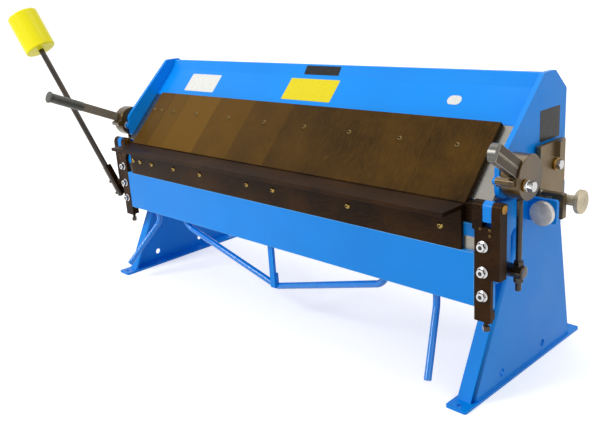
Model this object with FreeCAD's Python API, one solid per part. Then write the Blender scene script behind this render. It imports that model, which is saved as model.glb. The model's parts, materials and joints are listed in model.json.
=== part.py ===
"""Box and pan brake: a free-standing finger brake for bending sheet metal, 48 in of bend line.

Millimetres, +Z up, the operator stands at -Y and +X is to the operator's right.
While it is modelled, Y runs from the bend line. Every piece is shifted at export, so that the
origin lies in the middle of the four floor bolts, on the underside of the feet.
"""
import FreeCAD, Part
import math
import os

Vector = FreeCAD.Vector
INCH = 25.4

# Clearances
RUNNING_FIT = 0.05          # radial, a shaft in its bore
SIDE_GAP = 0.5              # between parts that turn beside each other
SLIDE_GAP = 0.3             # between faces that slide on each other
SHEET_GAP = 0.2             # between the finger noses and the bed, with no sheet in the brake
FINGER_GAP = 0.4            # between neighbouring fingers and neighbouring bend bars
PAST = 1.0                  # how far a cutting tool runs out of the metal
NEAR = 1e-6                 # two lengths this close are the same

# Bend line and fingers
BEND_LENGTH = 48 * INCH     # the longest sheet that the brake bends
ONE_INCH_WIDTH = 1 * INCH   # the narrow fingers and bend bars share these three widths
TWO_INCH_WIDTH = 2 * INCH
THREE_INCH_WIDTH = 3 * INCH
WIDE_FINGER_COUNT = 7       # equal fingers that fill the rest of the bend line
SIX_INCH_BAR_WIDTH = 6 * INCH
TWELVE_INCH_BAR_WIDTH = 12 * INCH
BAR_NAMES = ("1in", "2in", "3in", "6in", "12in", "24in")
BEND_Z = 423.2
FINGER_SLOPE = 46.26        # degrees from level
FINGER_LENGTH = 192.7
FINGER_THICKNESS = 12.7
FINGER_EDGE_BREAK = 1.2
FINGER_NOSE_RADIUS = 0.4
FINGER_SCREW_UP = 127.0     # from the nose, along the slope
BUTTON_HEAD_RADIUS = 7.4
BUTTON_HEAD_HEIGHT = 4.6
BUTTON_SOCKET_FLATS = 5.0
BUTTON_SOCKET_DEPTH = 2.4
BUTTON_SHANK_RADIUS = 4.0

# Legs and feet
LEG_STAND_OFF = 47.9        # between the end of the bend line and the leg's outer face
LEG_SHEET = 6.0
LEG_FLANGE = 38.5
LEG_BEND_RADIUS = 9.0
LEG_FRONT_FOOT_Y = -45.0
LEG_REAR_FOOT_Y = 372.0
LEG_FRONT_TOP_Y = 109.0
LEG_REAR_TOP_Y = 312.0
LEG_SHOULDER_DROP = 118.7   # below the bend line
LEG_HOLE_RADIUS = 9.0
LEG_HOLE_Z = 31.0
LEG_HOLE_YS = (68.0, 243.0)
FOOT_WIDTH = 50.0
FOOT_THICKNESS = 6.35
FOOT_OUTSTAND = 5.0         # the foot bar beyond the leg's outer face
FOOT_FRONT_Y = -79.5
FOOT_REAR_Y = 418.7
FOOT_CORNER_RADIUS = 6.0
FLOOR_HOLE_RADIUS = 5.5
FLOOR_HOLE_INSET = 20.0     # inside the leg's outer face
FLOOR_HOLE_FRONT_Y = -64.0
FLOOR_HOLE_REAR_Y = 403.0

# Bed
BED_TOP_THICKNESS = 20.0
BED_WEB = 12.0
BED_WEB_FRONT_Y = 6.5
BED_WEB_HEIGHT = 123.0      # from the nose bar's underside down
BED_REAR_WEB_DEPTH = 98.0
BED_REAR_EDGE_RADIUS = 2.0
NOSE_BAR_FRONT_Y = 0.5
NOSE_BAR_DEPTH = 21.7
NOSE_BAR_HEIGHT = 38.2
NOSE_BAR_EDGE_RADIUS = 1.0

# Apron hinge
EAR_RADIUS = 12.5
INNER_EAR = 21.8
HINGE_ARM = 20.0
OUTER_EAR = 19.6
HINGE_PIN_RADIUS = 6.35
HINGE_PIN_PROUD = 0.6
BUSH_RADIUS = 9.2
BUSH_PROUD = 1.6
BUSH_EDGE_BREAK = 0.5
ARM_NOSE_DROP = 28.2
ARM_NOSE_RADIUS = 3.0
ARM_HEEL_RISE = 1.9
ARM_HEEL_GAP = 2.5          # behind the apron
ARM_REAR_Y = 126.0
ARM_DEPTH_AT_LEG = 61.2     # from the bend line down to the arm's underside
ARM_DROP_REAR_Y = 60.0
ARM_CORNER_RADIUS = 18.0
ARM_TOE_FRONT_RADIUS = 4.0
ARM_TOE_REAR_RADIUS = 8.0

# Apron
PLATE = 9.5                 # apron plates, hinge fork bars and bend bars
APRON_FACE_Y = -14.0
APRON_FACE_HEIGHT = 116.2
APRON_RECESS_HEIGHT = 56.4  # from the face plate's top edge to the apron's top edge
APRON_TOP_GAP = 1.0         # below the nose bar
BAR_TOP_DROP = 1.9          # below the bend line, room for the bent sheet
BAR_LEDGE_FRONT_Y = -76.3
BAR_REAR_GAP = 1.3          # in front of the nose bar
BAR_EDGE_BREAK = 1.0
BAR_REAR_EDGE_RADIUS = 0.6
BAR_INNER_RADIUS = 4.0
BAR_BOLT_DROP = 53.6        # below the bend line
BAR_BOLT_EDGE = 2 * INCH    # from a long bar's ends to its outermost screws
BAR_SCREW_COUNTS = (1, 1, 1, 1, 2, 3)

# Hinge forks and their adjusters
FORK_BAR_HEIGHT = 201.7
FORK_BAR_TOP_DROP = 38.5    # below the hinge pin
FORK_BAR_LAP = 17.0         # the fork bar inside the leg's outer face
FORK_WELD_LAP = 7.0         # the inner ear's overlap with the fork bar
EAR_SHOULDER_DROP = 6.0     # below the hinge pin
OUTER_EAR_LENGTH = 146.2    # from the hinge pin down
OUTER_EAR_REAR_Y = 11.0
OUTER_EAR_CORNER_RADIUS = 2.0
INNER_EAR_REAR_Y = 4.5
FORK_BOLT_INSET = 18.2      # inside the outer ear
FORK_BOLT_DROPS = (78.6, 132.7, 183.5)
FORK_BOLT_RADIUS = 5.0
FORK_BOLT_FLATS = 17.0
FORK_BOLT_HEAD = 8.0
FORK_BOLT_FLANGE_RADIUS = 12.0
FORK_BOLT_FLANGE = 2.5
FORK_SLOT_TRAVEL = 12.0
FORK_SLOT_PLAY = 0.5
ADJUSTER_BLOCK_WIDTH = 24.0
ADJUSTER_BLOCK_DEPTH = 17.0
ADJUSTER_BLOCK_HEIGHT = 18.0
ADJUSTER_RADIUS = 5.0
ADJUSTER_HEAD = 13.0
ADJUSTER_HEAD_HEIGHT = 11.0
ADJUSTER_STICK_OUT = 14.0   # free thread under the block

# Truss and pull handles of the apron
TRUSS_TUBE_RADIUS = 9.0
TRUSS_INSET = 286.5         # inside the hinge arm's outer face
TRUSS_WELD_RISE = 40.6      # above the apron's lower edge
TRUSS_END_DROP = 21.4       # below the apron's lower edge
TRUSS_DEPTH = 127.4
TRUSS_LOW_Y = 20.0
TRUSS_BEND_RADIUS = 45.0
POST_WIDTH = 18.0
POST_THICKNESS = 8.0
POST_FLANGE_WIDTH = 34.0
POST_FLANGE_HEIGHT = 30.0
POST_TOP_RISE = 50.6        # above the apron's lower edge
POST_GUSSET_HEIGHT = 40.0
PULL_ROD_RADIUS = 8.3
PULL_ROD_INSET = 128.5      # inside the leg's outer face
PULL_ROD_WELD_RISE = 38.6
PULL_ROD_BEND_DROP = 35.4
PULL_ROD_SPREAD = 46.6      # how far the rod's end stands outwards
PULL_ROD_REACH = 74.0       # and forwards of the apron
PULL_ROD_DEPTH = 159.4      # and below the apron's lower edge
PULL_ROD_BEND_RADIUS = 40.0
PULL_ROD_END_BREAK = 2.5

# Counterweight on the left hinge fork
WEIGHT_ROD_RADIUS = 9.0
WEIGHT_ROD_STAND_OFF = 22.0         # the rod's lower end from the outer ear's inner face
WEIGHT_ROD_FOOT_Y = -11.8
WEIGHT_ROD_FOOT_DROP = 183.9        # below the bend line
WEIGHT_ROD_LEAN_OUT = 27.2          # degrees from upright
WEIGHT_ROD_LEAN_FORWARD = 8.4
WEIGHT_ROD_FREE_LENGTH = 541.0      # from the rod's lower end to the weight
WEIGHT_RADIUS = 48.5
WEIGHT_LENGTH = 128.0
WEIGHT_EDGE_RADIUS = 5.0
WEIGHT_CAP = 38.0                   # metal above the rod's upper end
CHANNEL_START = 4.0                 # from the rod's lower end
CHANNEL_LENGTH = 106.0
CHANNEL_WALL = 3.0
CHANNEL_BACK = 13.0                 # from the rod's axis to the channel's back
CHANNEL_FLANGE_REACH = 5.0          # of the flanges in front of the rod's axis
CHANNEL_ARM_REACH = 23.4            # from the outer ear's outer face into the channel
CHANNEL_ARM_REAR_Y = 6.0
CHANNEL_ARM_HEIGHT = 13.0
CHANNEL_SCREWS = (14.0, 56.0)       # from the channel's lower end
CHANNEL_SCREW_RADIUS = 4.0
CHANNEL_SCREW_STICK_OUT = 4.0
CHANNEL_SCREW_HEAD = 9.0
CHANNEL_SCREW_HEAD_HEIGHT = 7.0

# Beam
SEAT_THICKNESS = 19.0
SEAT_BOTTOM_GAP = 3.8       # above the bed
BEAM_SHEET = 6.35
BEAM_SEAM_UP = 291.0        # from the nose, along the slope
BEAM_TOP_FRONT_Y = 229.0
BEAM_TOP_WIDTH = 11.0
BEAM_REAR_Y = 290.0
BEAM_HEIGHT = 229.8         # from the bend line
BEAM_SHOULDER_RISE = 186.8
BEAM_SKIRT_RISE = 23.8
END_PLATE = 11.0
END_PLATE_FRONT_Y = 28.0
END_PLATE_BOTTOM_RISE = 5.8
END_PLATE_FRONT_RISE = 74.3 # where the upright front edge turns into the slanted one
END_PLATE_SLANT = 43.15     # degrees
END_PLATE_MARGIN = 4.0      # round the beam's top and rear
END_PLATE_FRONT_RADIUS = 22.0
END_PLATE_TOP_RADIUS = 12.0
END_PLATE_REAR_RADIUS = 8.0

# Beam pivots and the setback carriage
PIVOT_Y = 224.0
PIVOT_RISE = 40.8           # above the bend line
PIVOT_BOLT_RADIUS = 8.0
PIVOT_WASHER_RADIUS = 13.0
PIVOT_WASHER = 5.5
PIVOT_HEAD_FLATS = 19.0
PIVOT_HEAD = 10.0
PIVOT_NUT = 10.0
CARRIAGE_GAP = 6.0          # between the beam's end plate and the setback plate
CARRIAGE_PLATE = 9.0
CARRIAGE_FRONT_Y = 161.0
CARRIAGE_REAR_Y = 268.0
CARRIAGE_RISE = 89.3
CARRIAGE_DROP = 39.2
CARRIAGE_CORNER_RADIUS = 4.0
UPRIGHT_THICKNESS = 10.0
UPRIGHT_FRONT_Y = 225.0
UPRIGHT_REAR_Y = 241.0
UPRIGHT_LENGTH = 34.5
BRACKET_FRONT_Y = 165.0
BRACKET_DEPTH = 15.0
BRACKET_TOP_DROP = 5.2
BRACKET_HEIGHT = 53.0
BRACKET_SHELF = 8.0
BRACKET_LEG_WIDTH = 23.5
BRACKET_MARGIN = 13.7       # of the bracket beside the setback screw
BRACKET_EDGE_RADIUS = 3.0
BRACKET_FOOT_RADIUS = 2.0
SETBACK_TRAVEL = 3.0
GUIDE_PAD_FRONT_Y = 150.0
GUIDE_PAD_REAR_Y = 290.0
GUIDE_PAD_TOP_DROP = 11.2
GUIDE_PAD_HEIGHT = 37.0

# Setback knob and lock knob
KNOB_RADIUS = 25.2
KNOB_EDGE_BREAK = 1.5
SETBACK_KNOB_FACE_Y = 100.0
SETBACK_KNOB_DEPTH = 10.5
SETBACK_SCREW_OUT = 62.3    # from the leg's outer face
SETBACK_SCREW_DROP = 31.5   # below the bend line
SETBACK_SCREW_RADIUS = 5.0
SETBACK_SCREW_PAST = 4.0    # the screw's end past the bracket
SETBACK_COLLAR_RADIUS = 9.5
SETBACK_COLLAR = 6.0
LUG_THICKNESS = 10.0
LUG_MARGIN = 20.2           # of the lug beside the setback screw
LUG_HEIGHT = 49.0
LUG_TOP_DROP = 8.2          # below the bend line
LUG_CORNER_RADIUS = 5.0
LOCK_KNOB_STAND_OFF = 66.0  # between the setback plate and the lock knob
LOCK_KNOB_DEPTH = 11.0
LOCK_KNOB_Y = 197.3
LOCK_KNOB_DROP = 24.6
LOCK_HUB_RADIUS = 11.0
LOCK_STUD_RADIUS = 6.0
LOCK_STUD_END_GAP = 1.0     # between the stud's end and the leg

# Clamp cams, cranked on the bolt that the end plate carries
CAM_GAP = 15.0              # between the right end plate and its cam
LEFT_CLAMP_INSET = 13.0     # the left clamp sits closer to its end plate
CAM_PIVOT_Y = 27.6
CAM_PIVOT_RISE = 45.2       # above the bend line
CAM_CENTRE_Y = 50.0
CAM_CENTRE_RISE = 55.8
CAM_RADIUS = 45.5
CAM_WIDTH = 40.0
CAM_EDGE_BREAK = 1.5
CAM_BOLT_RADIUS = 5.5
CAM_BOLT_BOSS_RADIUS = 8.0
CAM_BOLT_END_WALL = 3.0     # metal left between the bolt and the end plate's inner face
CAM_WASHER_RADIUS = 12.0
CAM_BRASS_WASHER = 3.2
CAM_STEEL_WASHER = 5.0
CAM_STEEL_WASHER_RADIUS = 11.0
CAM_HEAD_FLATS = 19.0
CAM_HEAD = 12.0
CRANK_THROW = 24.5
CRANK_ANGLE = 50.0          # degrees above level, from the bolt to the crank pin
CAM_TURN = 50.0             # degrees, from clamped to open
CRANK_PIN_RADIUS = 5.0
CRANK_PIN_END_WALL = 2.0
CAM_SLOT_INNER = 12.5       # thickness of the cam's inner cheek
CAM_SLOT_WIDTH = 18.0
CAM_SLOT_ROUND = 17.5       # room round the rod's eye
CAM_SLOT_FRONT = 9.8        # room in front of the rod
CAM_SLOT_REAR = 12.0
STOP_PIN_RADIUS = 7.5
STOP_PIN_Y = 0.0
STOP_PIN_RISE = 54.8
STOP_PIN_INSET = 6.0        # inside the cam's outer face
STOP_PIN_LENGTH = 38.0
STOP_LUG_WIDTH = 14.0
STOP_LUG_ROOT = 8.0         # the lug's end in front of the cam bolt

# Cam handles
HANDLE_INSET = 12.0         # inside the cam's outer face
SHORT_HANDLE_ANGLE = 147.8  # degrees, from +Y towards +Z
SHORT_HANDLE_LENGTH = 142.0
SHORT_HANDLE_WIDTH = 36.0
SHORT_HANDLE_THICKNESS = 16.0
SHORT_HANDLE_GROOVE = 3.0
SHORT_HANDLE_GROOVE_DEPTH = 2.0
SHORT_HANDLE_GROOVE_START = 6.0     # from the cam
SHORT_HANDLE_TIP = 11.0
LONG_HANDLE_ANGLE = 156.3
LONG_HANDLE_LENGTH = 283.5
LONG_BAR_LENGTH = 168.8
LONG_BAR_WIDTH = 26.0
LONG_BAR_THICKNESS = 10.0
LONG_BAR_TANG = 40.0        # inside the grip
LONG_BAR_TANG_WIDTH = 20.0
GRIP_RADIUS = 14.5
GRIP_FLANGE_RADIUS = 17.5
GRIP_FLANGE = 6.0
GRIP_FLANGE_EDGE_RADIUS = 2.4

# Link rods from the crank pins down to the trunnions
TRUNNION_DROP = 138.2       # below the bend line
LINK_INSET = 21.5           # outside the cam's inner face
LINK_ROD_RADIUS = 6.5
LINK_ROD_END = 41.0         # below the trunnion
LINK_BLADE_HALF = 5.0
LINK_BLADE_WIDTH = 14.0
LINK_BLADE_DROP = 32.4      # below the cam bolt
LINK_EYE_WALL = 5.0
LINK_EYE_PLAY = 1.5
LINK_EYE_SWING = 2.0        # how far the crank pin wanders in the eye while the cam turns
TRUNNION_RADIUS = 14.0
TRUNNION_EDGE_RADIUS = 4.9
TRUNNION_JOURNAL_RADIUS = 9.0
TRUNNION_LENGTH = 42.0
TRUNNION_FLAT = 12.0        # from the trunnion's axis to the nut seats
TRUNNION_FLAT_MARGIN = 2.0  # of the flat round its nut
LINK_NUT_FLATS = 19.0
LINK_NUT_HEIGHT = 10.5

# Sizes that follow from the ones above
ORIGIN_Y = (FLOOR_HOLE_FRONT_Y + FLOOR_HOLE_REAR_Y) / 2
HALF_BEND = BEND_LENGTH / 2
NARROW_WIDTHS = [ONE_INCH_WIDTH, TWO_INCH_WIDTH, THREE_INCH_WIDTH]
WIDE_FINGER_WIDTH = (BEND_LENGTH - sum(NARROW_WIDTHS)) / WIDE_FINGER_COUNT
FINGER_WIDTHS = NARROW_WIDTHS + [WIDE_FINGER_WIDTH] * WIDE_FINGER_COUNT
SHORT_BAR_WIDTHS = NARROW_WIDTHS + [SIX_INCH_BAR_WIDTH, TWELVE_INCH_BAR_WIDTH]
BAR_WIDTHS = SHORT_BAR_WIDTHS + [BEND_LENGTH - sum(SHORT_BAR_WIDTHS)]
LEG_OUTER_X = HALF_BEND + LEG_STAND_OFF
FLOOR_HOLE_X = LEG_OUTER_X - FLOOR_HOLE_INSET
SLOPE_COS = math.cos(math.radians(FINGER_SLOPE))
SLOPE_SIN = math.sin(math.radians(FINGER_SLOPE))
LEG_SHOULDER_Z = BEND_Z - LEG_SHOULDER_DROP
BED_UNDERSIDE_Z = BEND_Z - BED_TOP_THICKNESS
NOSE_BAR_REAR_Y = NOSE_BAR_FRONT_Y + NOSE_BAR_DEPTH
NOSE_BAR_BOTTOM_Z = BEND_Z - NOSE_BAR_HEIGHT
BED_WEB_BOTTOM_Z = NOSE_BAR_BOTTOM_Z - BED_WEB_HEIGHT
ARM_UNDERSIDE_Z = BEND_Z - ARM_DEPTH_AT_LEG
ARM_OUTER_X = LEG_OUTER_X + HINGE_ARM
INNER_EAR_OUTER_X = LEG_OUTER_X - SIDE_GAP
INNER_EAR_INNER_X = INNER_EAR_OUTER_X - INNER_EAR
NOSE_BAR_END_X = INNER_EAR_INNER_X - BUSH_PROUD - SIDE_GAP
OUTER_EAR_INNER_X = ARM_OUTER_X + SIDE_GAP
OUTER_EAR_OUTER_X = OUTER_EAR_INNER_X + OUTER_EAR
OUTER_EAR_BOTTOM_Z = BEND_Z - OUTER_EAR_LENGTH
APRON_SHELF_Y = APRON_FACE_Y + PLATE
APRON_BACK_Y = APRON_SHELF_Y + PLATE
APRON_TOP_Z = NOSE_BAR_BOTTOM_Z - APRON_TOP_GAP
APRON_STEP_Z = APRON_TOP_Z - APRON_RECESS_HEIGHT
APRON_BOTTOM_Z = APRON_STEP_Z - APRON_FACE_HEIGHT
BAR_BOLT_Z = BEND_Z - BAR_BOLT_DROP
BAR_TOP_Z = BEND_Z - BAR_TOP_DROP
BAR_REAR_Y = NOSE_BAR_FRONT_Y - BAR_REAR_GAP
FORK_BAR_INNER_X = LEG_OUTER_X - FORK_BAR_LAP
FORK_BAR_TOP_Z = BEND_Z - FORK_BAR_TOP_DROP
FORK_BAR_BOTTOM_Z = FORK_BAR_TOP_Z - FORK_BAR_HEIGHT
FORK_BOLT_X = OUTER_EAR_INNER_X - FORK_BOLT_INSET
FORK_BOLT_ZS = [BEND_Z - drop for drop in FORK_BOLT_DROPS]
ADJUSTER_Y = (APRON_SHELF_Y + APRON_BACK_Y) / 2
TRUSS_END_X = ARM_OUTER_X - TRUSS_INSET
TRUSS_WELD_Z = APRON_BOTTOM_Z + TRUSS_WELD_RISE
TRUSS_END_Z = APRON_BOTTOM_Z - TRUSS_END_DROP
TRUSS_LOW_Z = APRON_BOTTOM_Z - TRUSS_DEPTH
POST_TOP_Z = APRON_BOTTOM_Z + POST_TOP_RISE
PULL_ROD_X = LEG_OUTER_X - PULL_ROD_INSET
PULL_ROD_WELD_Z = APRON_BOTTOM_Z + PULL_ROD_WELD_RISE
PULL_ROD_BEND_Z = APRON_BOTTOM_Z - PULL_ROD_BEND_DROP
PULL_ROD_END = (PULL_ROD_X + PULL_ROD_SPREAD, APRON_FACE_Y - PULL_ROD_REACH,
                APRON_BOTTOM_Z - PULL_ROD_DEPTH)
BEAM_TOP_Z = BEND_Z + BEAM_HEIGHT
BEAM_TOP_REAR_Y = BEAM_TOP_FRONT_Y + BEAM_TOP_WIDTH
BEAM_SHOULDER_Z = BEND_Z + BEAM_SHOULDER_RISE
BEAM_SKIRT_Z = BEND_Z + BEAM_SKIRT_RISE
END_PLATE_INNER_X = LEG_OUTER_X + SIDE_GAP
END_PLATE_OUTER_X = END_PLATE_INNER_X + END_PLATE
END_PLATE_BOTTOM_Z = BEND_Z + END_PLATE_BOTTOM_RISE
END_PLATE_FRONT_Z = BEND_Z + END_PLATE_FRONT_RISE
PIVOT_Z = BEND_Z + PIVOT_RISE
CARRIAGE_INNER_X = END_PLATE_OUTER_X + CARRIAGE_GAP
CARRIAGE_OUTER_X = CARRIAGE_INNER_X + CARRIAGE_PLATE
CARRIAGE_TOP_Z = BEND_Z + CARRIAGE_RISE
CARRIAGE_BOTTOM_Z = BEND_Z - CARRIAGE_DROP
UPRIGHT_BOTTOM_Z = CARRIAGE_TOP_Z - UPRIGHT_LENGTH
SETBACK_SCREW_X = LEG_OUTER_X + SETBACK_SCREW_OUT
SETBACK_SCREW_Z = BEND_Z - SETBACK_SCREW_DROP
BRACKET_OUTER_X = SETBACK_SCREW_X + BRACKET_MARGIN
BRACKET_TOP_Z = BEND_Z - BRACKET_TOP_DROP
BRACKET_BOTTOM_Z = BRACKET_TOP_Z - BRACKET_HEIGHT
GUIDE_PAD_TOP_Z = BEND_Z - GUIDE_PAD_TOP_DROP
GUIDE_PAD_BOTTOM_Z = GUIDE_PAD_TOP_Z - GUIDE_PAD_HEIGHT
LUG_OUTER_X = SETBACK_SCREW_X + LUG_MARGIN
LUG_TOP_Z = BEND_Z - LUG_TOP_DROP
LUG_BOTTOM_Z = LUG_TOP_Z - LUG_HEIGHT
LOCK_KNOB_Z = BEND_Z - LOCK_KNOB_DROP
LOCK_KNOB_REAR_X = CARRIAGE_OUTER_X + LOCK_KNOB_STAND_OFF
LOCK_KNOB_FACE_X = LOCK_KNOB_REAR_X + LOCK_KNOB_DEPTH
CAM_INNER_X = END_PLATE_OUTER_X + CAM_GAP
CAM_OUTER_X = CAM_INNER_X + CAM_WIDTH
CAM_PIVOT_Z = BEND_Z + CAM_PIVOT_RISE
CAM_CENTRE_Z = BEND_Z + CAM_CENTRE_RISE
CRANK_Y = CAM_PIVOT_Y + CRANK_THROW * math.cos(math.radians(CRANK_ANGLE))
CRANK_Z = CAM_PIVOT_Z + CRANK_THROW * math.sin(math.radians(CRANK_ANGLE))
STOP_PIN_Z = BEND_Z + STOP_PIN_RISE
STOP_PIN_OUTER_X = CAM_OUTER_X - STOP_PIN_INSET
HANDLE_X = CAM_OUTER_X - HANDLE_INSET
LINK_X = CAM_INNER_X + LINK_INSET
TRUNNION_Z = BEND_Z - TRUNNION_DROP
LINK_ROD_BOTTOM_Z = TRUNNION_Z - LINK_ROD_END
LINK_BLADE_BOTTOM_Z = CAM_PIVOT_Z - LINK_BLADE_DROP


# Shape helpers

def box(x0, x1, y0, y1, z0, z1):
    """Return a block between two corners."""
    return Part.makeBox(x1 - x0, y1 - y0, z1 - z0, Vector(x0, y0, z0))


def rod(start, end, radius):
    """Return a cylinder between two points."""
    start = Vector(*start)
    axis = Vector(*end) - start
    return Part.makeCylinder(radius, axis.Length, start, axis)


def rod_x(x0, x1, y, z, radius):
    """Return a cylinder along X."""
    return rod((x0, y, z), (x1, y, z), radius)


def rod_y(x, y0, y1, z, radius):
    """Return a cylinder along Y."""
    return rod((x, y0, z), (x, y1, z), radius)


def broken_rod(start, end, radius, edge):
    """Return a cylinder with both rims chamfered."""
    shape = rod(start, end, radius)
    rims = [item for item in shape.Edges if isinstance(item.Curve, Part.Circle)]
    return shape.makeChamfer(edge, rims)


def rounded_wire(corners):
    """Return a closed wire from (point, radius) corners, each rounded by its radius."""
    count = len(corners)
    starts = []
    ends = []
    edges = []
    for index, (point, radius) in enumerate(corners):
        before = (corners[index - 1][0] - point).normalize()
        after = (corners[(index + 1) % count][0] - point).normalize()
        half_angle = before.getAngle(after) / 2
        reach = radius / math.tan(half_angle)
        starts.append(point + before * reach)
        ends.append(point + after * reach)
        if radius > 0:
            bisector = (before + after).normalize()
            middle = point + bisector * (radius / math.sin(half_angle) - radius)
            edges.append(Part.Arc(starts[-1], middle, ends[-1]).toShape())
    for index in range(count):
        start = ends[index]
        end = starts[(index + 1) % count]
        if (end - start).Length > NEAR:
            edges.append(Part.makeLine(start, end))
    return Part.Wire(Part.__sortEdges__(edges))


def side_plate(x0, x1, corners):
    """Return a plate from x0 to x1 with a side outline of (y, z, corner radius)."""
    points = [(Vector(x0, y, z), radius) for y, z, radius in corners]
    return Part.Face(rounded_wire(points)).extrude(Vector(x1 - x0, 0, 0))


def front_plate(y0, y1, corners):
    """Return a plate from y0 to y1 with a front outline of (x, z, corner radius)."""
    points = [(Vector(x, y0, z), radius) for x, z, radius in corners]
    return Part.Face(rounded_wire(points)).extrude(Vector(0, y1 - y0, 0))


def floor_plate(z0, z1, corners):
    """Return a plate from z0 to z1 with a top outline of (x, y, corner radius)."""
    points = [(Vector(x, y, z0), radius) for x, y, radius in corners]
    return Part.Face(rounded_wire(points)).extrude(Vector(0, 0, z1 - z0))


def prism(centre, direction, sides, flats, height):
    """Return a regular prism with the given distance across its flats."""
    direction = Vector(*direction).normalize()
    turn = FreeCAD.Rotation(Vector(0, 0, 1), direction)
    reach = flats / 2 / math.cos(math.pi / sides)
    points = []
    for index in range(sides + 1):
        angle = math.pi * (2 * index + 1) / sides
        flat_point = Vector(reach * math.cos(angle), reach * math.sin(angle), 0)
        points.append(Vector(*centre) + turn.multVec(flat_point))
    return Part.Face(Part.makePolygon(points)).extrude(direction * height)


def bent_rod(points, radius, bend_radius):
    """Return a round bar along straight runs joined by tangent arcs."""
    path = [Vector(*point) for point in points]
    edges = []
    start = path[0]
    for index in range(1, len(path) - 1):
        corner = path[index]
        before = (path[index - 1] - corner).normalize()
        after = (path[index + 1] - corner).normalize()
        half_angle = before.getAngle(after) / 2
        reach = bend_radius / math.tan(half_angle)
        bend_start = corner + before * reach
        bend_end = corner + after * reach
        bisector = (before + after).normalize()
        middle = corner + bisector * (bend_radius / math.sin(half_angle) - bend_radius)
        edges.append(Part.makeLine(start, bend_start))
        edges.append(Part.Arc(bend_start, middle, bend_end).toShape())
        start = bend_end
    edges.append(Part.makeLine(start, path[-1]))
    section = Part.Wire(Part.makeCircle(radius, path[0], path[1] - path[0]))
    return Part.Wire(edges).makePipeShell([section], True, False)


def mirrored(shape):
    """Return the shape's twin on the left end of the brake."""
    return shape.mirror(Vector(0, 0, 0), Vector(1, 0, 0))


def moved_inwards(shape, distance):
    """Return a copy of the shape, moved towards the middle of the brake."""
    copy = shape.copy()
    copy.translate(Vector(-distance, 0, 0))
    return copy


def fused(shapes):
    """Return one solid made of overlapping or touching shapes."""
    return shapes[0].multiFuse(shapes[1:]).removeSplitter()


def on_slope(up, out):
    """Return (y, z) at a distance up the fingers' front face and out of it."""
    y = SLOPE_COS * up - SLOPE_SIN * out
    z = BEND_Z + SLOPE_SIN * up + SLOPE_COS * out
    return y, z


def slope_up_at(z, out):
    """Return the distance up the slope where the layer 'out' of it reaches height z."""
    return (z - BEND_Z - SLOPE_COS * out) / SLOPE_SIN


def polar(y, z, angle, distance):
    """Return (y, z) at an angle in degrees from +Y towards +Z."""
    radians = math.radians(angle)
    return y + distance * math.cos(radians), z + distance * math.sin(radians)


def strips(widths):
    """Return (left edge, right edge) of pieces laid side by side from the left end."""
    edges = []
    left = -HALF_BEND
    for width in widths:
        edges.append((left + FINGER_GAP / 2, left + width - FINGER_GAP / 2))
        left += width
    return edges


# Base: legs, feet, bed, hinge arms

def leg():
    """Right leg: sheet with its front edge bent inwards as a flange."""
    outline = [
        (LEG_FRONT_FOOT_Y, FOOT_THICKNESS),
        (LEG_FRONT_TOP_Y, LEG_SHOULDER_Z),
        (LEG_FRONT_TOP_Y, BED_UNDERSIDE_Z),
        (LEG_REAR_TOP_Y, BED_UNDERSIDE_Z),
        (LEG_REAR_TOP_Y, LEG_SHOULDER_Z),
        (LEG_REAR_FOOT_Y, FOOT_THICKNESS),
    ]
    blank = side_plate(LEG_OUTER_X - LEG_FLANGE, LEG_OUTER_X, [(y, z, 0) for y, z in outline])
    bend_edges = []
    for edge in blank.Edges:
        box_of_edge = edge.BoundBox
        on_outer_face = abs(box_of_edge.XMin - LEG_OUTER_X) < NEAR and box_of_edge.XLength < NEAR
        ahead = box_of_edge.YMax <= LEG_FRONT_TOP_Y + NEAR
        if on_outer_face and ahead:
            bend_edges.append(edge)
    blank = blank.makeFillet(LEG_BEND_RADIUS, bend_edges)
    slant_shift = LEG_SHEET / math.cos(math.atan2(LEG_FRONT_TOP_Y - LEG_FRONT_FOOT_Y,
                                                  LEG_SHOULDER_Z - FOOT_THICKNESS))
    hollow_outline = [
        (LEG_FRONT_FOOT_Y + slant_shift, FOOT_THICKNESS - PAST),
        (LEG_FRONT_TOP_Y + LEG_SHEET, LEG_SHOULDER_Z),
        (LEG_FRONT_TOP_Y + LEG_SHEET, BED_UNDERSIDE_Z + PAST),
        (LEG_REAR_FOOT_Y + PAST, BED_UNDERSIDE_Z + PAST),
        (LEG_REAR_FOOT_Y + PAST, FOOT_THICKNESS - PAST),
    ]
    hollow = side_plate(LEG_OUTER_X - LEG_FLANGE - PAST, LEG_OUTER_X - LEG_SHEET,
                        [(y, z, 0) for y, z in hollow_outline])
    shape = blank.cut(hollow)
    for y in LEG_HOLE_YS:
        shape = shape.cut(rod_x(LEG_OUTER_X - LEG_FLANGE, LEG_OUTER_X + PAST, y, LEG_HOLE_Z,
                                LEG_HOLE_RADIUS))
    return shape


def foot():
    """Right foot: a flat bar under the leg with a floor bolt hole at each end."""
    outer_x = LEG_OUTER_X + FOOT_OUTSTAND
    inner_x = outer_x - FOOT_WIDTH
    radius = FOOT_CORNER_RADIUS
    shape = floor_plate(0, FOOT_THICKNESS, [
        (inner_x, FOOT_FRONT_Y, radius),
        (outer_x, FOOT_FRONT_Y, radius),
        (outer_x, FOOT_REAR_Y, radius),
        (inner_x, FOOT_REAR_Y, radius),
    ])
    for y in (FLOOR_HOLE_FRONT_Y, FLOOR_HOLE_REAR_Y):
        shape = shape.cut(rod((FLOOR_HOLE_X, y, -PAST), (FLOOR_HOLE_X, y, FOOT_THICKNESS + PAST),
                              FLOOR_HOLE_RADIUS))
    return shape


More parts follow.
